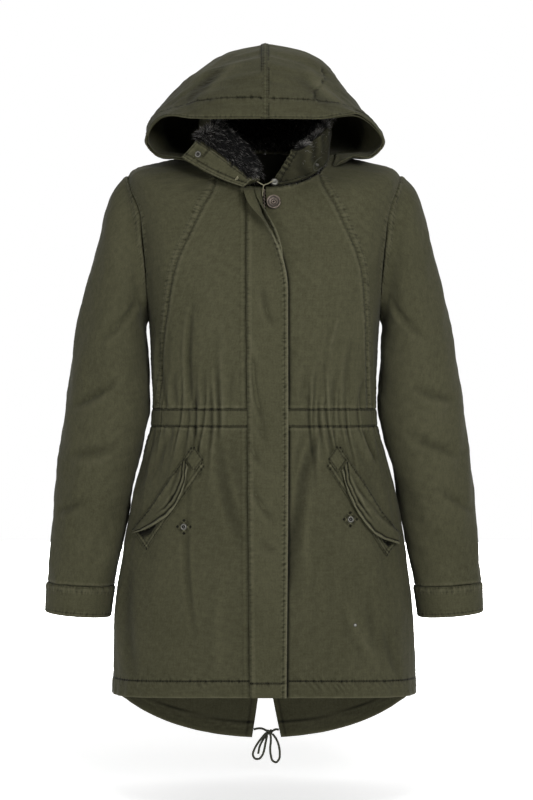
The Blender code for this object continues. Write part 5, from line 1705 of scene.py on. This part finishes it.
# The lights: place, the point each is aimed at, size, power and spread in degrees.
LIGHTS = (
    ("key", (0.9, -2.4, 0.5), (0.0, 0, -0.14), (0.9, 0.9), 7.5, 74),
    ("fill", (-1.8, -2.6, 0.0), (-0.05, 0, -0.3), (1.0, 1.2), 3.9, 90),
    ("top", (0, -0.5, 2.2), (0, 0, 0), (1.0, 1.0), 2.8, 70),
    ("floor_back", (0, 3.75, 1.7), (0, 3.75, 0), (4.6, 4.2), 230, 44),
)


def build_camera():
    data = bpy.data.cameras.new("camera")
    data.lens = 90
    data.sensor_width = 36
    data.sensor_fit = "VERTICAL"
    data.sensor_height = 36
    camera = place_object("camera", data)
    camera.location = (0.002, -3.1, -0.3525)
    camera.rotation_euler = (math.radians(90), 0, 0)
    bpy.context.scene.camera = camera


def build_stage():
    """The floor, the world and the lights."""
    mesh = bpy.data.meshes.new("floor")
    x = FLOOR_HALF_WIDTH
    corners = [(-x, FLOOR_NEAR), (x, FLOOR_NEAR), (x, FLOOR_FAR), (-x, FLOOR_FAR)]
    mesh.from_pydata([(*corner, FLOOR_Z) for corner in corners], [], [(0, 1, 2, 3)])
    mesh.materials.append(new_material("floor_paper", {
        "Base Color": (0.95, 0.95, 0.95, 1), "Roughness": 0.9, "Specular IOR Level": 0.1,
        "Emission Color": (1, 1, 1, 1), "Emission Strength": FLOOR_GLOW,
    })[0])
    place_object("floor", mesh)
    build_world()
    for name, place, aim, size, power, spread in LIGHTS:
        data = bpy.data.lights.new(name, "AREA")
        data.shape = "RECTANGLE"
        data.size, data.size_y = size
        data.energy = power
        data.spread = math.radians(spread)
        light = place_object(name, data)
        light.location = place
        light.rotation_euler = (Vector(aim) - Vector(place)).to_track_quat("-Z", "Y").to_euler()


def build_world():
    """White behind the coat, dimmer over it and round the sides."""
    world = bpy.data.worlds.new("studio")
    world.use_nodes = True
    nodes = Nodes(world.node_tree, "Background")
    backwards = nodes.add("SeparateXYZ", "Y", {0: nodes.add("TexCoord", "Generated")})
    ends = {"From Min": 0.0, "From Max": 0.75, "To Min": AMBIENT, "To Max": 1.0}
    strength = nodes.add("MapRange", "Result", {"Value": backwards, **ends}, interpolation_type="SMOOTHSTEP")
    nodes.feed(nodes.end, {"Strength": strength, "Color": (1, 1, 1, 1)})
    bpy.context.scene.world = world


def main():
    bpy.context.scene.view_settings.view_transform = "Standard"
    build_camera()
    build_cords()
    build_knot()
    build_piping()
    build_body()
    build_casings()
    build_flaps()
    build_zip()
    shares = np.arange(0, 1, GRID_STEP / SLEEVE_GIRTH)
    turn = 2 * np.pi * shares[None, :]
    across, forward = np.cos(turn) * SLEEVE_RADIUS, np.sin(turn) * SLEEVE_RADIUS
    for side_name, side in (("right", -1), ("left", 1)):
        build_sleeve(side_name, side, shares, across, forward)
        build_cuff(side_name, side, shares, across, forward)
        flap_table = np.array(POCKET_FLAPS[side_name])
        build_pocket_welt(side_name, flap_table)
        build_pocket_box(side_name)
        build_pocket_flap(side_name, flap_table)
        build_snap_patch(side_name)
    build_hood()
    build_collar()
    build_fur()
    build_hardware()
    sew_all()
    build_stage()


main()
